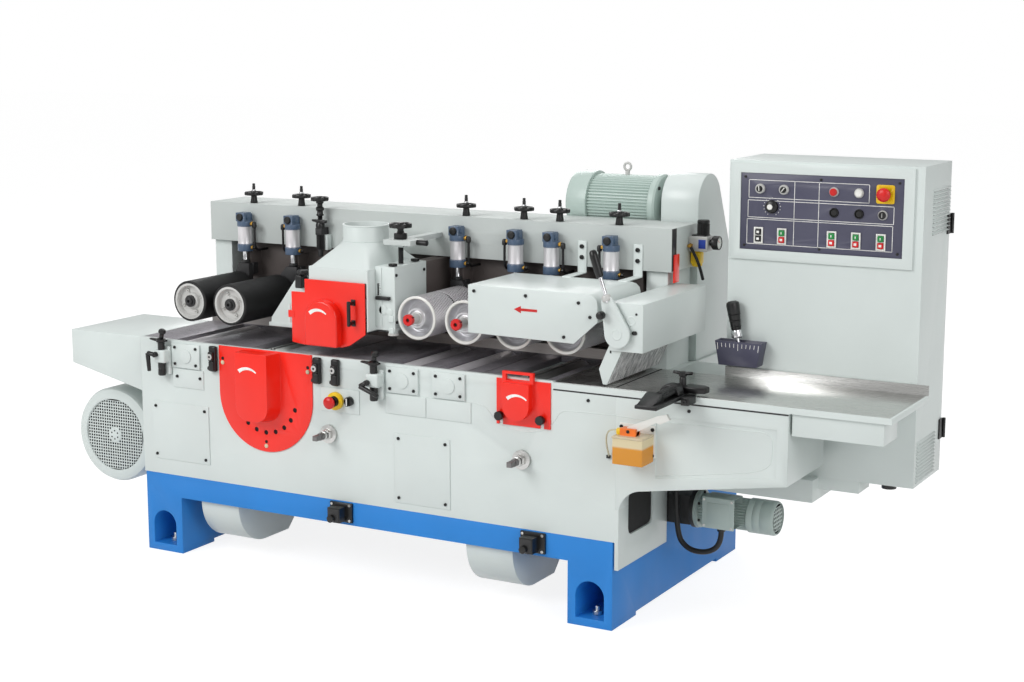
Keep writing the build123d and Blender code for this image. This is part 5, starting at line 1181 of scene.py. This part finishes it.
class PLANER_OT_upper_head(bpy.types.Operator):
    """Dust hood, slide block with its scale, and the red hinged door"""

    bl_idname = "planer.upper_head"
    bl_label = "Upper head"

    def execute(self, context):
        x = middle("upper_cutterhead")[0]
        left = x + 112.5
        hood = dressed("dust_hood", mint(), 1.6)
        parts = [
            hood,
            turned(
                [(72.2, 0), (75, 0), (76.4, 1.4), (76.4, 4), (74.6, 5.4), (72.2, 5)],
                at(x, 190, 1147.4), UP, mint(), 96),
            turned([(75, 0), (76.2, 1), (76.2, 2.4), (75, 3.4)], at(x, 190, 1100), UP, mint(), 96),
            slab(left + 0.5, left + 24, 69, 73, 842, 1034, mint(), 1.2),
            slab(left + 9, left + 14.5, 68.4, 70.5, 944, 982, shadow_black(), 0.3),
            slab(left + 5, left + 58, 60, 71, 930, 942, black(), 3.0, 3),
            pin(left + 50, 936, 57, 72, 5, black(), 1.2, 20),
            solid([(16, 0), (16, 1.6), (13, 3)], at(left + 27, 72, 897), FORTH, mint(), 32),
            solid([(12, 0), (12, 1.6), (9, 3)], at(left + 52, 72, 892), FORTH, mint(), 32),
            solid(
                [(16, 0), (17, 2), (17, 16), (13, 20), (13, 32), (18, 37), (18, 58)],
                at(left + 58, 84, 824), UP, mint(), 6, 0.8),
            solid([(18, 0), (18, 5), (12, 9)], at(left + 58, 84, 817), UP, hub_grey(), 28),
            slab(x - 221, x - 193, 98, 131.9, 938, 980, black(), 4.0, 3),
            turned(
                [(0, 0), (9, 0), (10, 4), (19, 6), (21, 9), (21, 16), (18, 20), (0, 22)],
                at(x - 196, 112, 978), UP, black(), 10, 1.0),
        ]
        for i in range(8):
            parts.append(slab(
                left + 15.5, left + (20.5 if i % 4 else 22.5), 68.8, 70, 945 + i * 5, 946 + i * 5,
                shadow_black(), 0.1))
        # Low enough to pass under the screw plate when the head is lifted
        for dx, depth in ((57, 86), (52, 225)):
            knob = at(left + dx, depth, 1036)
            parts.append(solid([(5, 0), (5, 2.5)], knob, UP, black(), 20))
            parts.append(finned(knob + UP * 0.002, UP * 0.007, 14, 2.2, 9, black()))
            parts.append(solid([(12, 0), (11, 1), (8, 1.6)], knob + UP * 0.0088, UP, black(), 28))
        for depth, z in ((80, 1010), (245, 1010), (80, 860), (245, 860)):
            parts.append(socket_screw(at(left + 72, depth, z), RIGHT, 5, 4, black()))
        stand_in("dust_hood", parts)

        sheet = [
            (x - 179, 776), (x - 130.5, 770), (x + 16, 773), (x + 44, 781), (x + 104.5, 821),
            (x + 104.5, 985), (x - 126.5, 985), (x - 126.5, 941), (x - 179, 941),
        ]
        dome = [(x - 106, 776)]
        dome += [(x - 44 + dx, 862 + dz) for dx, dz in ring_points(62, 17, 180, -180)]
        dome += [(x + 18, 776)]
        parts = [
            plate(front_points(sheet, 20.6), BACK * 0.0048, red(), 1.4, 3),
            plate(front_points(dome, -13.3), BACK * 0.0342, red(), 7.0, 5),
            arc_arrow(x - 52, 846, -14.0, 48, 50, 132, 13, mark_white()),
            pin(x + 62, 857, 20.6, -6, 5.5, black(), 1.5, 20),
            pin(x + 62, 921, 20.6, -6, 5.5, black(), 1.5, 20),
            post(x + 62, -7.3, 849, 929, 6, black(), 2.4, 24),
            slab(x + 54, x + 70, 17, 20.7, 846, 866, black(), 1.5),
            slab(x + 54, x + 70, 17, 20.7, 912, 932, black(), 1.5),
            post(x - 188, 23, 838.2, 897.8, 2.4, dark_iron_and_shade(), 0.4, 16),
            post(x - 188, 23, 856.4, 879.6, 5, red(), 0.6, 24),
            slab(x - 188, x - 168, 19.6, 22.4, 857, 879, red(), 0.5),
        ]
        stand_in("hood_door", parts)
        return {"FINISHED"}


# Front guards


class PLANER_OT_front_guards(bpy.types.Operator):
    """Red guard of the second lower head and the lift-off cover of the first"""

    bl_idname = "planer.front_guards"
    bl_label = "Front guards"

    def execute(self, context):
        x = middle("rip_arbor")[0]
        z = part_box("rip_guard")[0].z / MM + 187.5
        parts = [
            dressed("rip_guard", red(), 2.6, 3),
            arc_arrow(x - 24, 634, -66.7, 56, 52, 128, 13, mark_white()),
        ]
        for dx, dz in ring_points(122.5, 7, -127, 109.8):
            parts.append(pin(x + dx, z + dz, -2.2, -0.2, 7.9, shadow_black(), 0.2, 24))
        for px, pz in ((x - 171.5, 687), (x + 171.5, 687), (x, z - 167.5)):
            parts.append(pin(px, pz + 14, -3.8, -4.4, 5.6, shadow_black(), 0, 20))
        stand_in("rip_guard", parts)

        x = middle("lower_cutterhead")[0]
        parts = [
            dressed("infeed_head_cover", red(), 2.4, 3),
            arc_arrow(x - 8, 642, -30.7, 52, 50, 130, 11, mark_white()),
        ]
        stand_in("infeed_head_cover", parts)
        return {"FINISHED"}


# Fittings and screws


class PLANER_OT_fittings(bpy.types.Operator):
    """Latches, clamps, switches, adjusters and boxes on the front, with all screw heads"""

    bl_idname = "planer.fittings"
    bl_label = "Fittings"

    def shoe_screw(self, x):
        """Screw stack of the pressure shoe: dished wheel, thread, wing and knurled sleeve."""
        wing = [(x - 30, 1128), (x - 8, 1122), (x + 24, 1122), (x + 24, 1132), (x - 8, 1134), (x - 30, 1134)]
        return [
            solid(
                [
                    (12, 0), (13, 4), (10, 8), (10, 16), (14, 20), (14, 28), (9, 32), (9, 40), (13, 44),
                    (13, 52),
                ],
                at(x, ROW_DEPTH, 1147), UP, black(), 32),
            threaded(x, ROW_DEPTH, 8.8, 1120, 1198, 3.0, black()),
            plate(front_points(wing, 352), BACK * 0.016, black(), 2.0),
            solid([(15, 0), (15, 14), (12, 20)], at(x, ROW_DEPTH, 1104), UP, black(), 36),
            slab(x - 13, x + 13, 348, 392, 1082, 1106, dark_iron_and_shade(), 2.0),
            slab(x + 12, x + 24, 366, 392, 1030, 1082, mint(), 1.6),
            finned(at(x, ROW_DEPTH, 1034), UP * 0.048, 14, 1.6, 20, black()),
            post(x, ROW_DEPTH, 1008, 1036, 9, dark_iron_and_shade(), 1.0, 24),
        ]

    def latch(self, x):
        """Rubber draw latch with its ring, catch and pull."""
        return [
            slab(x - 14, x + 14, -16, -0.2, 653, 739, black(), 5.0, 3),
            slab(x - 11, x + 11, -22, -14, 656, 690, black(), 4.0, 3),
            slab(x - 10, x + 10, -26, -14, 691, 721, black(), 4.0, 3),
            turned([(4, 0), (9, 0), (10, 1), (9, 2), (4, 2)], at(x - 1, -26, 705), FORTH, hub_grey(), 28),
            pin(x - 1, 705, -25.5, -28.5, 4.2, black(), 0.8, 20),
            shaft(x - 18, x - 6, -12, 664, 7, black(), 2.0, 20),
        ]

    def clamp(self, x, lever):
        """Bed clamp: painted block, screw with cross grip and knob, and a side lever through points."""
        hub, elbow, end = [at(x + dx, d, z) for dx, d, z in lever]
        grip = [(x - 46, 743), (x - 14, 738), (x + 14, 738), (x + 24, 741), (x + 22, 747), (x - 46, 748)]
        return [
            slab(x - 22, x + 24, -40, -0.2, 668, 712, mint(), 6.0, 3),
            slab(x - 4, x + 26, -13, -0.2, 628, 722, mint(), 2.0, 3),
            solid(
                [(11, 0), (13, 3), (13, 22), (12, 24), (13, 26), (13, 46)], at(x, -24, 624), UP, black(), 32),
            turned(
                [(0, 0), (12, 0), (12, 26), (17, 29), (17, 37), (12, 41), (0, 42)],
                at(x, -24, 710), UP, black(), 28),
            plate(front_points(grip, -30), BACK * 0.013, black(), 2.2, 3),
            bar(at(x + 1, -24, 750), at(x + 5, -25, 768), 7.5, black(), 1.0, 24),
            solid(
                [(7, 0), (12, 4), (13, 9), (11, 15), (6, 18)], at(x + 5, -25, 765), (0.2, 0, 1), black(), 24),
            bar(hub, hub - BACK * 0.014, 9, black(), 1.5, 24),
            bar(hub - BACK * 0.009, elbow, 7.5, black(), 2.5, 24),
            bar(elbow, end, 8, black(), 2.5, 24, 6.4),
        ]

    def execute(self, context):
        base = dressed("front_fittings", black(), 1.2)
        trimmed(
            base,
            lambda x, d, z: (z > 600 and d < 0.5 and (x < -50 and z > 640 or abs(x - 66) < 40 or x < -740))
            or (abs(x + 398) < 40 and z > 1000),
        )
        coat_faces(base, bright(), lambda x, d, z, n: abs(z - SHAFT_HEIGHT) < 34 and d < 60)
        coat_faces(base, shaft_steel(), lambda x, d, z, n: abs(z - SHAFT_HEIGHT) < 34 and d < -24)
        coat_faces(base, yellow(), lambda x, d, z, n: math.hypot(x + 92, z - 604) < 31 and -14.5 < d < 0)
        coat_faces(base, red(), lambda x, d, z, n: x > 890)
        coat_faces(base, mint(), lambda x, d, z, n: abs(x - 50) < 30 and 1080 < z < 1100)
        parts = [base]
        for x in (-580.5, -161, -90):
            parts += self.latch(x)
        parts += self.clamp(-786, ((-10, -40, 697), (-38, -50, 701), (-30, -54, 640)))
        parts += self.clamp(66, ((-12, -40, 684), (-34, -52, 672), (34, -54, 646)))
        shoe = middle("rip_arbor")[0] - 26
        parts += self.shoe_screw(shoe)
        parts += lobed_wheel(shoe, ROW_DEPTH, 1198, 32, 13, sizes().wheel_lobes, black())
        for x in (-738, -641):
            parts.append(socket_screw(at(x, -2.5, 622), FORTH, 5, 5.5, black(), 18))
        for x in (-122, 585):
            parts.append(turned(
                [(12.2, 0), (19, 0), (19, 11), (16, 14), (12.2, 14)],
                at(x, -10, SHAFT_HEIGHT), FORTH, bright(), 6, 0.8))
            parts.append(turned(
                [(12.1, 0), (15, 1), (15, 5), (12.1, 6)], at(x, -34, SHAFT_HEIGHT), FORTH, bright(), 32))
        for x in (-78, 625):
            for dx in (-35, 33):
                for z in (214, 264):
                    parts.append(socket_screw(at(x + dx, -8, z), FORTH, 4.5, 3, bright(), 16))
            parts.append(slab(x - 22, x + 16, -47.2, -45, 217, 257, dark_iron_and_shade(), 1.0))
        parts.append(slab(-41, -37, -24.6, -23.6, 596, 620, mark_white(), 0.2))
        parts.append(slab(891.6, 893, 395, 428, 1037, 1169, black(), 0.4))
        parts.append(slab(891.8, 896.6, 406, 444, 1001, 1088, red(), 1.0))
        for x in (513.5, 654.5):
            parts.append(finned(at(x, -25, 623), BACK * 0.014, 14, 1.6, 18, black()))
        stand_in("front_fittings", parts)

        heads = dressed("screws", bright(), 0.0)
        fronts = [face for face in heads.data.polygons if face.normal.y < -0.9 and len(face.vertices) > 8]
        backs = [face for face in heads.data.polygons if face.normal.y > 0.9 and len(face.vertices) > 8]
        places = []
        for face in fronts:
            c = face.center
            back = min(b.center.y for b in backs if abs(b.center.x - c.x) + abs(b.center.z - c.z) < 0.0005)
            places.append((Vector((c.x, back, c.z)), math.sqrt(face.area / math.pi) / MM, (back - c.y) / MM))
        parts = [trimmed(heads, lambda x, d, z: z > 130)]
        soften(heads, 1.0)
        for place, radius, height in places:
            if radius > 7.5:
                parts.append(turned([(0, 0), (7, 0), (7, 2), (5, 4), (0, 4.6)], place, FORTH, cream(), 24))
            else:
                parts.append(socket_screw(place, FORTH, radius, height, black(), 18))
        stand_in("screws", parts)
        return {"FINISHED"}


# Infeed end


class PLANER_OT_infeed_end(bpy.types.Operator):
    """Infeed lever, kick-back fingers and the oil pump with its lever"""

    bl_idname = "planer.infeed_end"
    bl_label = "Infeed end"

    def execute(self, context):
        way = Vector((-32, 0, 92)).normalized()
        tip = at(872, -9, 996)
        lever = dressed("infeed_lever", mint(), 1.6)
        trimmed(lever, lambda x, d, z: (x - 904) * way.x + (z - 904) * way.z > 117 or d < -14.6)
        coat_faces(lever, bright(), lambda x, d, z, n: d > -3.5)
        parts = [
            lever,
            bar(tip, tip + way * 0.08, 6, chrome(), 0.5, 24),
            turned(
                [
                    (0, 76), (8, 76), (11, 79), (11.6, 84), (12.4, 100), (12.8, 120), (12.6, 140), (11, 152),
                    (7, 157.4), (0, 158),
                ],
                tip, way, black(), 32),
            turned(
                [(6.2, 0), (13, 0), (14, 3), (14, 14), (11, 18), (6.2, 18)],
                tip + way * 0.004, way, hub_grey(), 28),
            pin(861, 960, -14, -26, 5.5, bright(), 0.4, 20),
            finned(at(861, -24, 960), BACK * -0.016, 12, 1.4, 20, black()),
            solid([(10.8, 0), (11, 2), (8, 4)], at(861, -40, 960), FORTH, black(), 28),
            solid(
                [(11, 0.6), (12, 0), (17, 0), (17, 1), (15.5, 2.2), (12.5, 2.2), (11.5, 1.2)],
                at(904, -14, 904), FORTH, mint(), 40),
        ]
        stand_in("infeed_lever", parts)

        fingers = dressed("kickback_fingers", finger_steel(), 0.8)
        coat_faces(fingers, mint(), lambda x, d, z, n: d < 24)
        front = depth_of(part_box("kickback_fingers")[0])
        slot = slab(869, 874, front - 0.4, front + 0.4, 842, 862, shadow_black(), 0)
        stand_in("kickback_fingers", [fingers, slot])

        pump = dressed("oil_pump", oil_tank(), 2.4, 3)
        coat_faces(pump, white(), lambda x, d, z, n: d > -7)
        coat_faces(pump, orange(), lambda x, d, z, n: z > 620.5 and d < -8)
        parts = [
            pump,
            slab(925, 1024, -86, -7, 614, 621, reservoir(), 2.0, 3),
            solid([(11, 0), (12, 3), (12, 14), (9, 18)], at(936, -50, 620), UP, yellow(), 28),
            pin(968, 634, -68.5, -65, 5, black(), 0.6, 20),
            tube(
                [
                    at(930, -50, 632), at(905, -48, 632), at(886, -40, 612), at(880, -26, 578),
                    at(880, -12, 548), at(878, -3, 536),
                ],
                2.4, hose_clear()),
            slab(870, 882, -7, -0.2, 531, 541, black(), 1.2),
        ]
        for x, z in ((919, 633), (1019, 633), (1019, 556)):
            parts.append(socket_screw(at(x, -6, z), FORTH, 5.5, 4, black(), 16))
        stand_in("oil_pump", parts)
        handle = dressed("oil_pump_lever", white(), 1.8, 3)
        stand_in("oil_pump_lever", [handle])
        return {"FINISHED"}


# Control cabinet


class PLANER_OT_cabinet(bpy.types.Operator):
    """Cabinet with louvres and door, control panel, buttons and the depth lever"""

    bl_idname = "planer.cabinet"
    bl_label = "Control cabinet"

    COLUMNS = (1193, 1266, 1419, 1492, 1566)
    BEZEL = (
        (-14, -9.4, 1150, 1198), (9.4, 14, 1150, 1198), (-9.6, 9.6, 1193.4, 1198),
        (-9.6, 9.6, 1172.9, 1175.1), (-9.6, 9.6, 1150, 1154.6),
    )
    LINE = 1.6

    def stripe(self, x0, x1, z0, z1):
        """White stripe on the panel."""
        return slab(x0, x1, PANEL - 0.5, PANEL + 0.3, z0, z1, mark_white(), 0)

    def frame_line(self, x0, x1, z0, z1):
        """White outline of a rectangle on the panel."""
        return [
            self.stripe(x0, x1, z0, z0 + self.LINE),
            self.stripe(x0, x1, z1 - self.LINE, z1),
            self.stripe(x0, x0 + self.LINE, z0, z1),
            self.stripe(x1 - self.LINE, x1, z0, z1),
        ]

    def selector(self, x, z, turn):
        """Rotary selector: bright bezel, black knob and a white pointer at an angle."""
        way = Vector((math.sin(math.radians(turn)), 0, math.cos(math.radians(turn))))
        return [
            turned(
                [(9.4, 10), (13, 10), (14.5, 8), (14.5, 0), (9.4, 0)],
                at(x, PANEL, z), FORTH, hub_grey(), 36),
            solid([(9.2, 0), (9.2, 13), (8, 15)], at(x, PANEL, z), FORTH, black(), 32),
            bar(at(x, 331.6, z) - way * 0.006, at(x, 331.6, z) + way * 0.0085, 1.5, mark_white(), 0.2, 8),
        ]

    def panel(self):
        """Panel face with its outlines, switches and blanks."""
        parts = [dressed("control_panel", slate(), 0.8)]
        trimmed(parts[0], lambda x, d, z: d < 346.6 and z > 1225)
        for box in ((1159, 1528, 1284, 1338), (1157, 1602, 1226, 1278), (1155, 1600, 1147, 1222)):
            parts += self.frame_line(*box)
        for x in (1301, 1376):
            parts.append(self.stripe(x, x + self.LINE, 1147, 1338))
        parts += self.selector(1196, 1312, -4) + self.selector(1270, 1312, 38)
        parts.append(solid([(19, 0), (20, 2), (18, 10), (14, 13)], at(1233, PANEL, 1260), FORTH, black(), 36))
        parts.append(solid([(8, 0), (8.4, 2), (7, 4)], at(1231, 334, 1260), FORTH, signal_white(), 28))
        for dx, dz in ring_points(26, 15, -60, 300):
            parts.append(pin(1233 + dx, 1260 + dz, PANEL, 346.2, 1.3, mark_white(), 0, 8))
        for x, z, finish, reach in (
            (1422, 1312, signal_red(), 12), (1497, 1312, signal_white(), 10), (1424, 1252, black(), 4),
            (1499, 1252, black(), 4), (1569, 1252, black(), 10),
        ):
            parts.append(turned(
                [(11, 0), (14, 0), (14, 4), (12.6, 6), (11, 6)],
                at(x, PANEL, z), FORTH, black() if reach < 8 else hub_grey(), 36))
            parts.append(solid([(11, 0), (11, reach - 2), (9, reach)], at(x, PANEL, z), FORTH, finish, 32))
        parts.append(slab(1568.2, 1569.8, 336.6, 337.4, 1246, 1258, bright(), 0.2))
        yoke = plate(front_points(round_rect(1548, 1602, 1285, 1339, 6), PANEL), BACK * -0.002, yellow(), 0.6)
        parts.append(bored(yoke, at(1575, 340, 1312), at(1575, 350, 1312), 9.6))
        for x in self.COLUMNS:
            for x0, x1, z0, z1 in self.BEZEL:
                parts.append(slab(x + x0, x + x1, 342.6, 347.2, z0, z1, signal_white(), 0.6))
        for i in range(11):
            share = -1 + i / 5
            mark = at(1152 + share * 66, 303.8, 848)
            parts.append(bar(
                mark, mark - Vector((share * 0.002, 0, 0.012 if i % 5 else 0.02)), 0.9, mark_white(), 0, 8))
        return parts

    def execute(self, context):
        box = dressed("control_cabinet", mint(), sizes().sheet_edge * 1.4, 3)
        coat_faces(box, black(), lambda x, d, z, n: x > 1687.6 or z < 459.5)
        parts = [box]
        count = sizes().louvre_count
        for d0, d1, z0, z1 in ((440, 606, 1192, 1328), (372, 550, 472, 598)):
            for i in range(count):
                z = z0 + (z1 - z0) * i / count
                parts.append(plate(
                    [at(x, d0, z + dz) for x, dz in ((1686, 0), (1692, 0.6), (1692.6, 2.4), (1686, 8))],
                    BACK * (d1 - d0) * MM, mint(), 0.8))
                parts.append(slab(1686.6, 1687.2, d0 + 3, d1 - 3, z - 1.6, z, shadow_black(), 0))
        stand_in("control_cabinet", parts)
        door = dressed("cabinet_door", mint(), 1.6)
        coat_faces(door, black(), lambda x, d, z, n: d > 625 or x > 1682)
        stand_in("cabinet_door", [door])
        stand_in("control_panel", self.panel())

        rows = (("start_buttons", 1184, signal_green()), ("stop_buttons", 1164, signal_red()))
        for node, z, finish in rows:
            parts = []
            for number, x in enumerate(self.COLUMNS):
                skin = finish if number else black()
                ring = round_rect(x - 8.4, x + 8.4, z - 8.4, z + 8.4, 2.5, 4)
                parts.append(plate(front_points(ring, 339), BACK * 0.014, skin, 0.8))
                wide = 1.4 if number and z > 1180 else 4
                parts.append(slab(x - wide, x + wide, 338.4, 339.4, z - 3.4, z + 3.4, mark_white(), 0.2))
            if node == "stop_buttons":
                for x, depth, mz, reach in ((1575, 333, 1312, 20), (-92, -38, 604, 30)):
                    parts.append(turned(
                        [(0, 0), (17, 0), (20, 3), (20, 9), (16, 14), (8, 16), (0, 16.4)],
                        at(x, depth, mz), FORTH, signal_red(), 40))
                    parts.append(pin(x, mz, depth - 2, depth + reach, 9, black(), 0.5, 28))
            stand_in(node, parts)

        pivot = at(1152, 328, 800)
        way = Vector((-math.sin(math.radians(10)), 0, math.cos(math.radians(10))))
        lever = dressed("table_lever", dark_iron_and_shade(), 0.8)
        trimmed(lever, lambda x, d, z: math.hypot(x - 1152, z - 800) > 15)
        parts = [
            lever,
            bar(pivot + way * 0.012, pivot + way * 0.07, 5.5, chrome(), 0.4, 24),
            solid([(14, 64), (17, 67), (17, 80), (14.5, 88)], pivot, way, chrome(), 40),
            turned(
                [
                    (0, 88), (13.5, 88), (15, 91), (16.4, 112), (18.6, 140), (20, 162), (18.6, 171),
                    (12, 175.4), (0, 176),
                ],
                pivot, way, black(), 40),
        ]
        for turn in range(3):
            parts.append(turned(
                [(15.2 + 1.4 * turn, 0), (17.4 + 1.4 * turn, 1.4), (15.2 + 1.4 * turn, 2.8)],
                pivot + way * (0.098 + 0.018 * turn), way, black(), 40))
        stand_in("table_lever", parts)
        return {"FINISHED"}


# Motors


class PLANER_OT_motors(bpy.types.Operator):
    """Feed motor, spindle motor and gear motor with fins and fan covers"""

    bl_idname = "planer.motors"
    bl_label = "Motors"

    def feed_motor(self):
        """Motor on the beam: feet, fan cover, fins, flange and shaft."""
        depth, z = 697, 1209
        feet = dressed("feed_motor", motor_grey(), 2.0)
        trimmed(feet, lambda fx, d, fz: math.hypot(d - depth, fz - z) < 104.5)
        coat_faces(feet, hub_grey(), lambda fx, d, fz, n: fz > 1300)
        parts = [
            feet,
            solid(
                [(76, 4), (78, 0), (88, 0), (98, 5), (103, 16), (103, 78)],
                at(412, depth, z), RIGHT, motor_grey(), 72),
            grille(at(413, depth, z), -RIGHT, 76, 11, motor_grey()),
            finned(at(489, depth, z), RIGHT * 0.22, 94, 6, sizes().motor_fins, motor_grey()),
            solid(
                [(96, 0), (100, 4), (100, 20), (95, 26), (52, 26), (48, 18)],
                at(708, depth, z), RIGHT, motor_grey(), 72),
            shaft(724, 758, depth, z, 20, dark_iron_and_shade(), 1.0, 32),
            post(595, depth, 1298, 1317, 7.5, hub_grey(), 1.0, 24),
        ]
        for dd, dz in ring_points(84, 4, 45):
            parts.append(socket_screw(at(734, depth + dd, z + dz), RIGHT, 6, 5, dark_iron_and_shade(), 16))
        return parts

    def spindle_motor(self):
        """Motor beside the base: mount, perforated fan cover and fins."""
        x, z = -1118, 355
        mount = dressed("spindle_motor", motor_grey(), 2.0)
        trimmed(mount, lambda fx, d, fz: d < 505 and math.hypot(fx - x, fz - z) < 169)
        coat_faces(mount, dark_iron_and_shade(), lambda fx, d, fz, n: d > 531)
        parts = [
            mount,
            turned(
                [
                    (128, 3), (131, 0), (150, 0), (162, 5), (168, 16), (168, 110), (152, 110), (152, 24),
                    (128, 8),
                ],
                at(x, 100, z), BACK, mint(), 96),
            grille(at(x, 103.4, z), -BACK, 134, 10.5, mint()),
            pin(x, z, 116, 120, 152, shadow_black(), 0, 64),
            solid([(24, 0), (27, 2), (27, 5)], at(x, 100.4, z), BACK, mint(), 48),
            finned(at(x, 208, z), BACK * 0.294, 150, 12, 56, motor_grey()),
        ]
        for dx, dz in ring_points(15, 6, 30):
            parts.append(pin(x + dx, z + dz, 101, 100.1, 3, shadow_black(), 0, 12))
        return parts

    def gear_motor(self):
        """Gear motor under the infeed bracket: gearbox, fins, fan cover and terminal box."""
        depth, z = 400, 300
        body = dressed("gear_motor", gear_green(), 2.4, 3)
        trimmed(body, lambda fx, d, fz: fx > 1001.5 and math.hypot(d - depth, fz - z) < 55)
        coat_faces(body, black(), lambda fx, d, fz, n: 257 < fz < 273.5 and abs(fx - 1103) < 22 and d < 350)
        # Painted shade: the gearbox faces left of x 1000 are made dark, for the shade inside the base behind
        # the motor
        coat_faces(body, dark_iron_and_shade(), lambda fx, d, fz, n: fx < 1000)
        parts = [
            body,
            finned(at(1000, depth, z), RIGHT * 0.171, 50, 5, 34, gear_green()),
            solid(
                [
                    (50, 0), (54, 3), (54, 20), (52.6, 22), (54, 24), (54, 44), (52.6, 46), (54, 48),
                    (54, 82), (51.5, 88), (49, 90), (47, 90), (47, 83),
                ],
                at(1169, depth, z), RIGHT, gear_green(), 64),
            shaft(1252, 1253, depth, z, 46.8, shadow_black(), 0, 48),
            grille(at(1257, depth, z), RIGHT, 50, 12, gear_green()),
            slab(1050.5, 1155.5, 293.6, 299, 271, 369, gear_green(), 2.4, 3),
            slab(1068, 1138, 292.2, 295, 288, 352, gear_green(), 1.6),
            solid([(59, 0), (60, 2), (60, 9), (56, 12)], at(1001, depth, z), RIGHT, gear_green(), 64),
        ]
        for x in (1058, 1148):
            for height in (279, 361):
                parts.append(socket_screw(at(x, 293.6, height), FORTH, 4, 3, bright(), 16))
        for dd, dz in ring_points(53, 6, 30):
            parts.append(socket_screw(at(1013, depth + dd, z + dz), RIGHT, 4.6, 5, dark_iron_and_shade(), 16))
        return parts

    def execute(self, context):
        stand_in("feed_motor", self.feed_motor())
        stand_in("spindle_motor", self.spindle_motor())
        stand_in("gear_motor", self.gear_motor())
        return {"FINISHED"}


STEPS = (
    PLANER_OT_stage,
    PLANER_OT_conduit,
    PLANER_OT_frame,
    PLANER_OT_bed,
    PLANER_OT_infeed_table,
    PLANER_OT_feed_rollers,
    PLANER_OT_cylinders,
    PLANER_OT_handwheels,
    PLANER_OT_upper_head,
    PLANER_OT_front_guards,
    PLANER_OT_fittings,
    PLANER_OT_infeed_end,
    PLANER_OT_cabinet,
    PLANER_OT_motors,
)


class PLANER_PT_steps(bpy.types.Panel):
    """Lists the planer's steps in the sidebar"""

    bl_idname = "PLANER_PT_steps"
    bl_label = "Planer"
    bl_space_type = "VIEW_3D"
    bl_region_type = "UI"
    bl_category = "Planer"

    def draw(self, context):
        for step in STEPS:
            self.layout.operator(step.bl_idname)
        for name in PlanerFinishes.__annotations__:
            self.layout.prop(context.scene.planer_finishes, name)
        for name in PlanerSizes.__annotations__:
            self.layout.prop(context.scene.planer_sizes, name)


CLASSES = (PlanerFinishes, PlanerSizes) + STEPS + (PLANER_PT_steps,)


def register():
    """Registers the classes and puts the settings on the scene."""
    for item in CLASSES:
        bpy.utils.register_class(item)
    bpy.types.Scene.planer_finishes = PointerProperty(type=PlanerFinishes)
    bpy.types.Scene.planer_sizes = PointerProperty(type=PlanerSizes)


def unregister():
    """Takes the settings and the classes away again."""
    del bpy.types.Scene.planer_sizes
    del bpy.types.Scene.planer_finishes
    for item in reversed(CLASSES):
        bpy.utils.unregister_class(item)


def main():
    """Runs every step."""
    register()
    for step in STEPS:
        group, name = step.bl_idname.split(".")
        getattr(getattr(bpy.ops, group), name)()


if __name__ == "__main__":
    main()
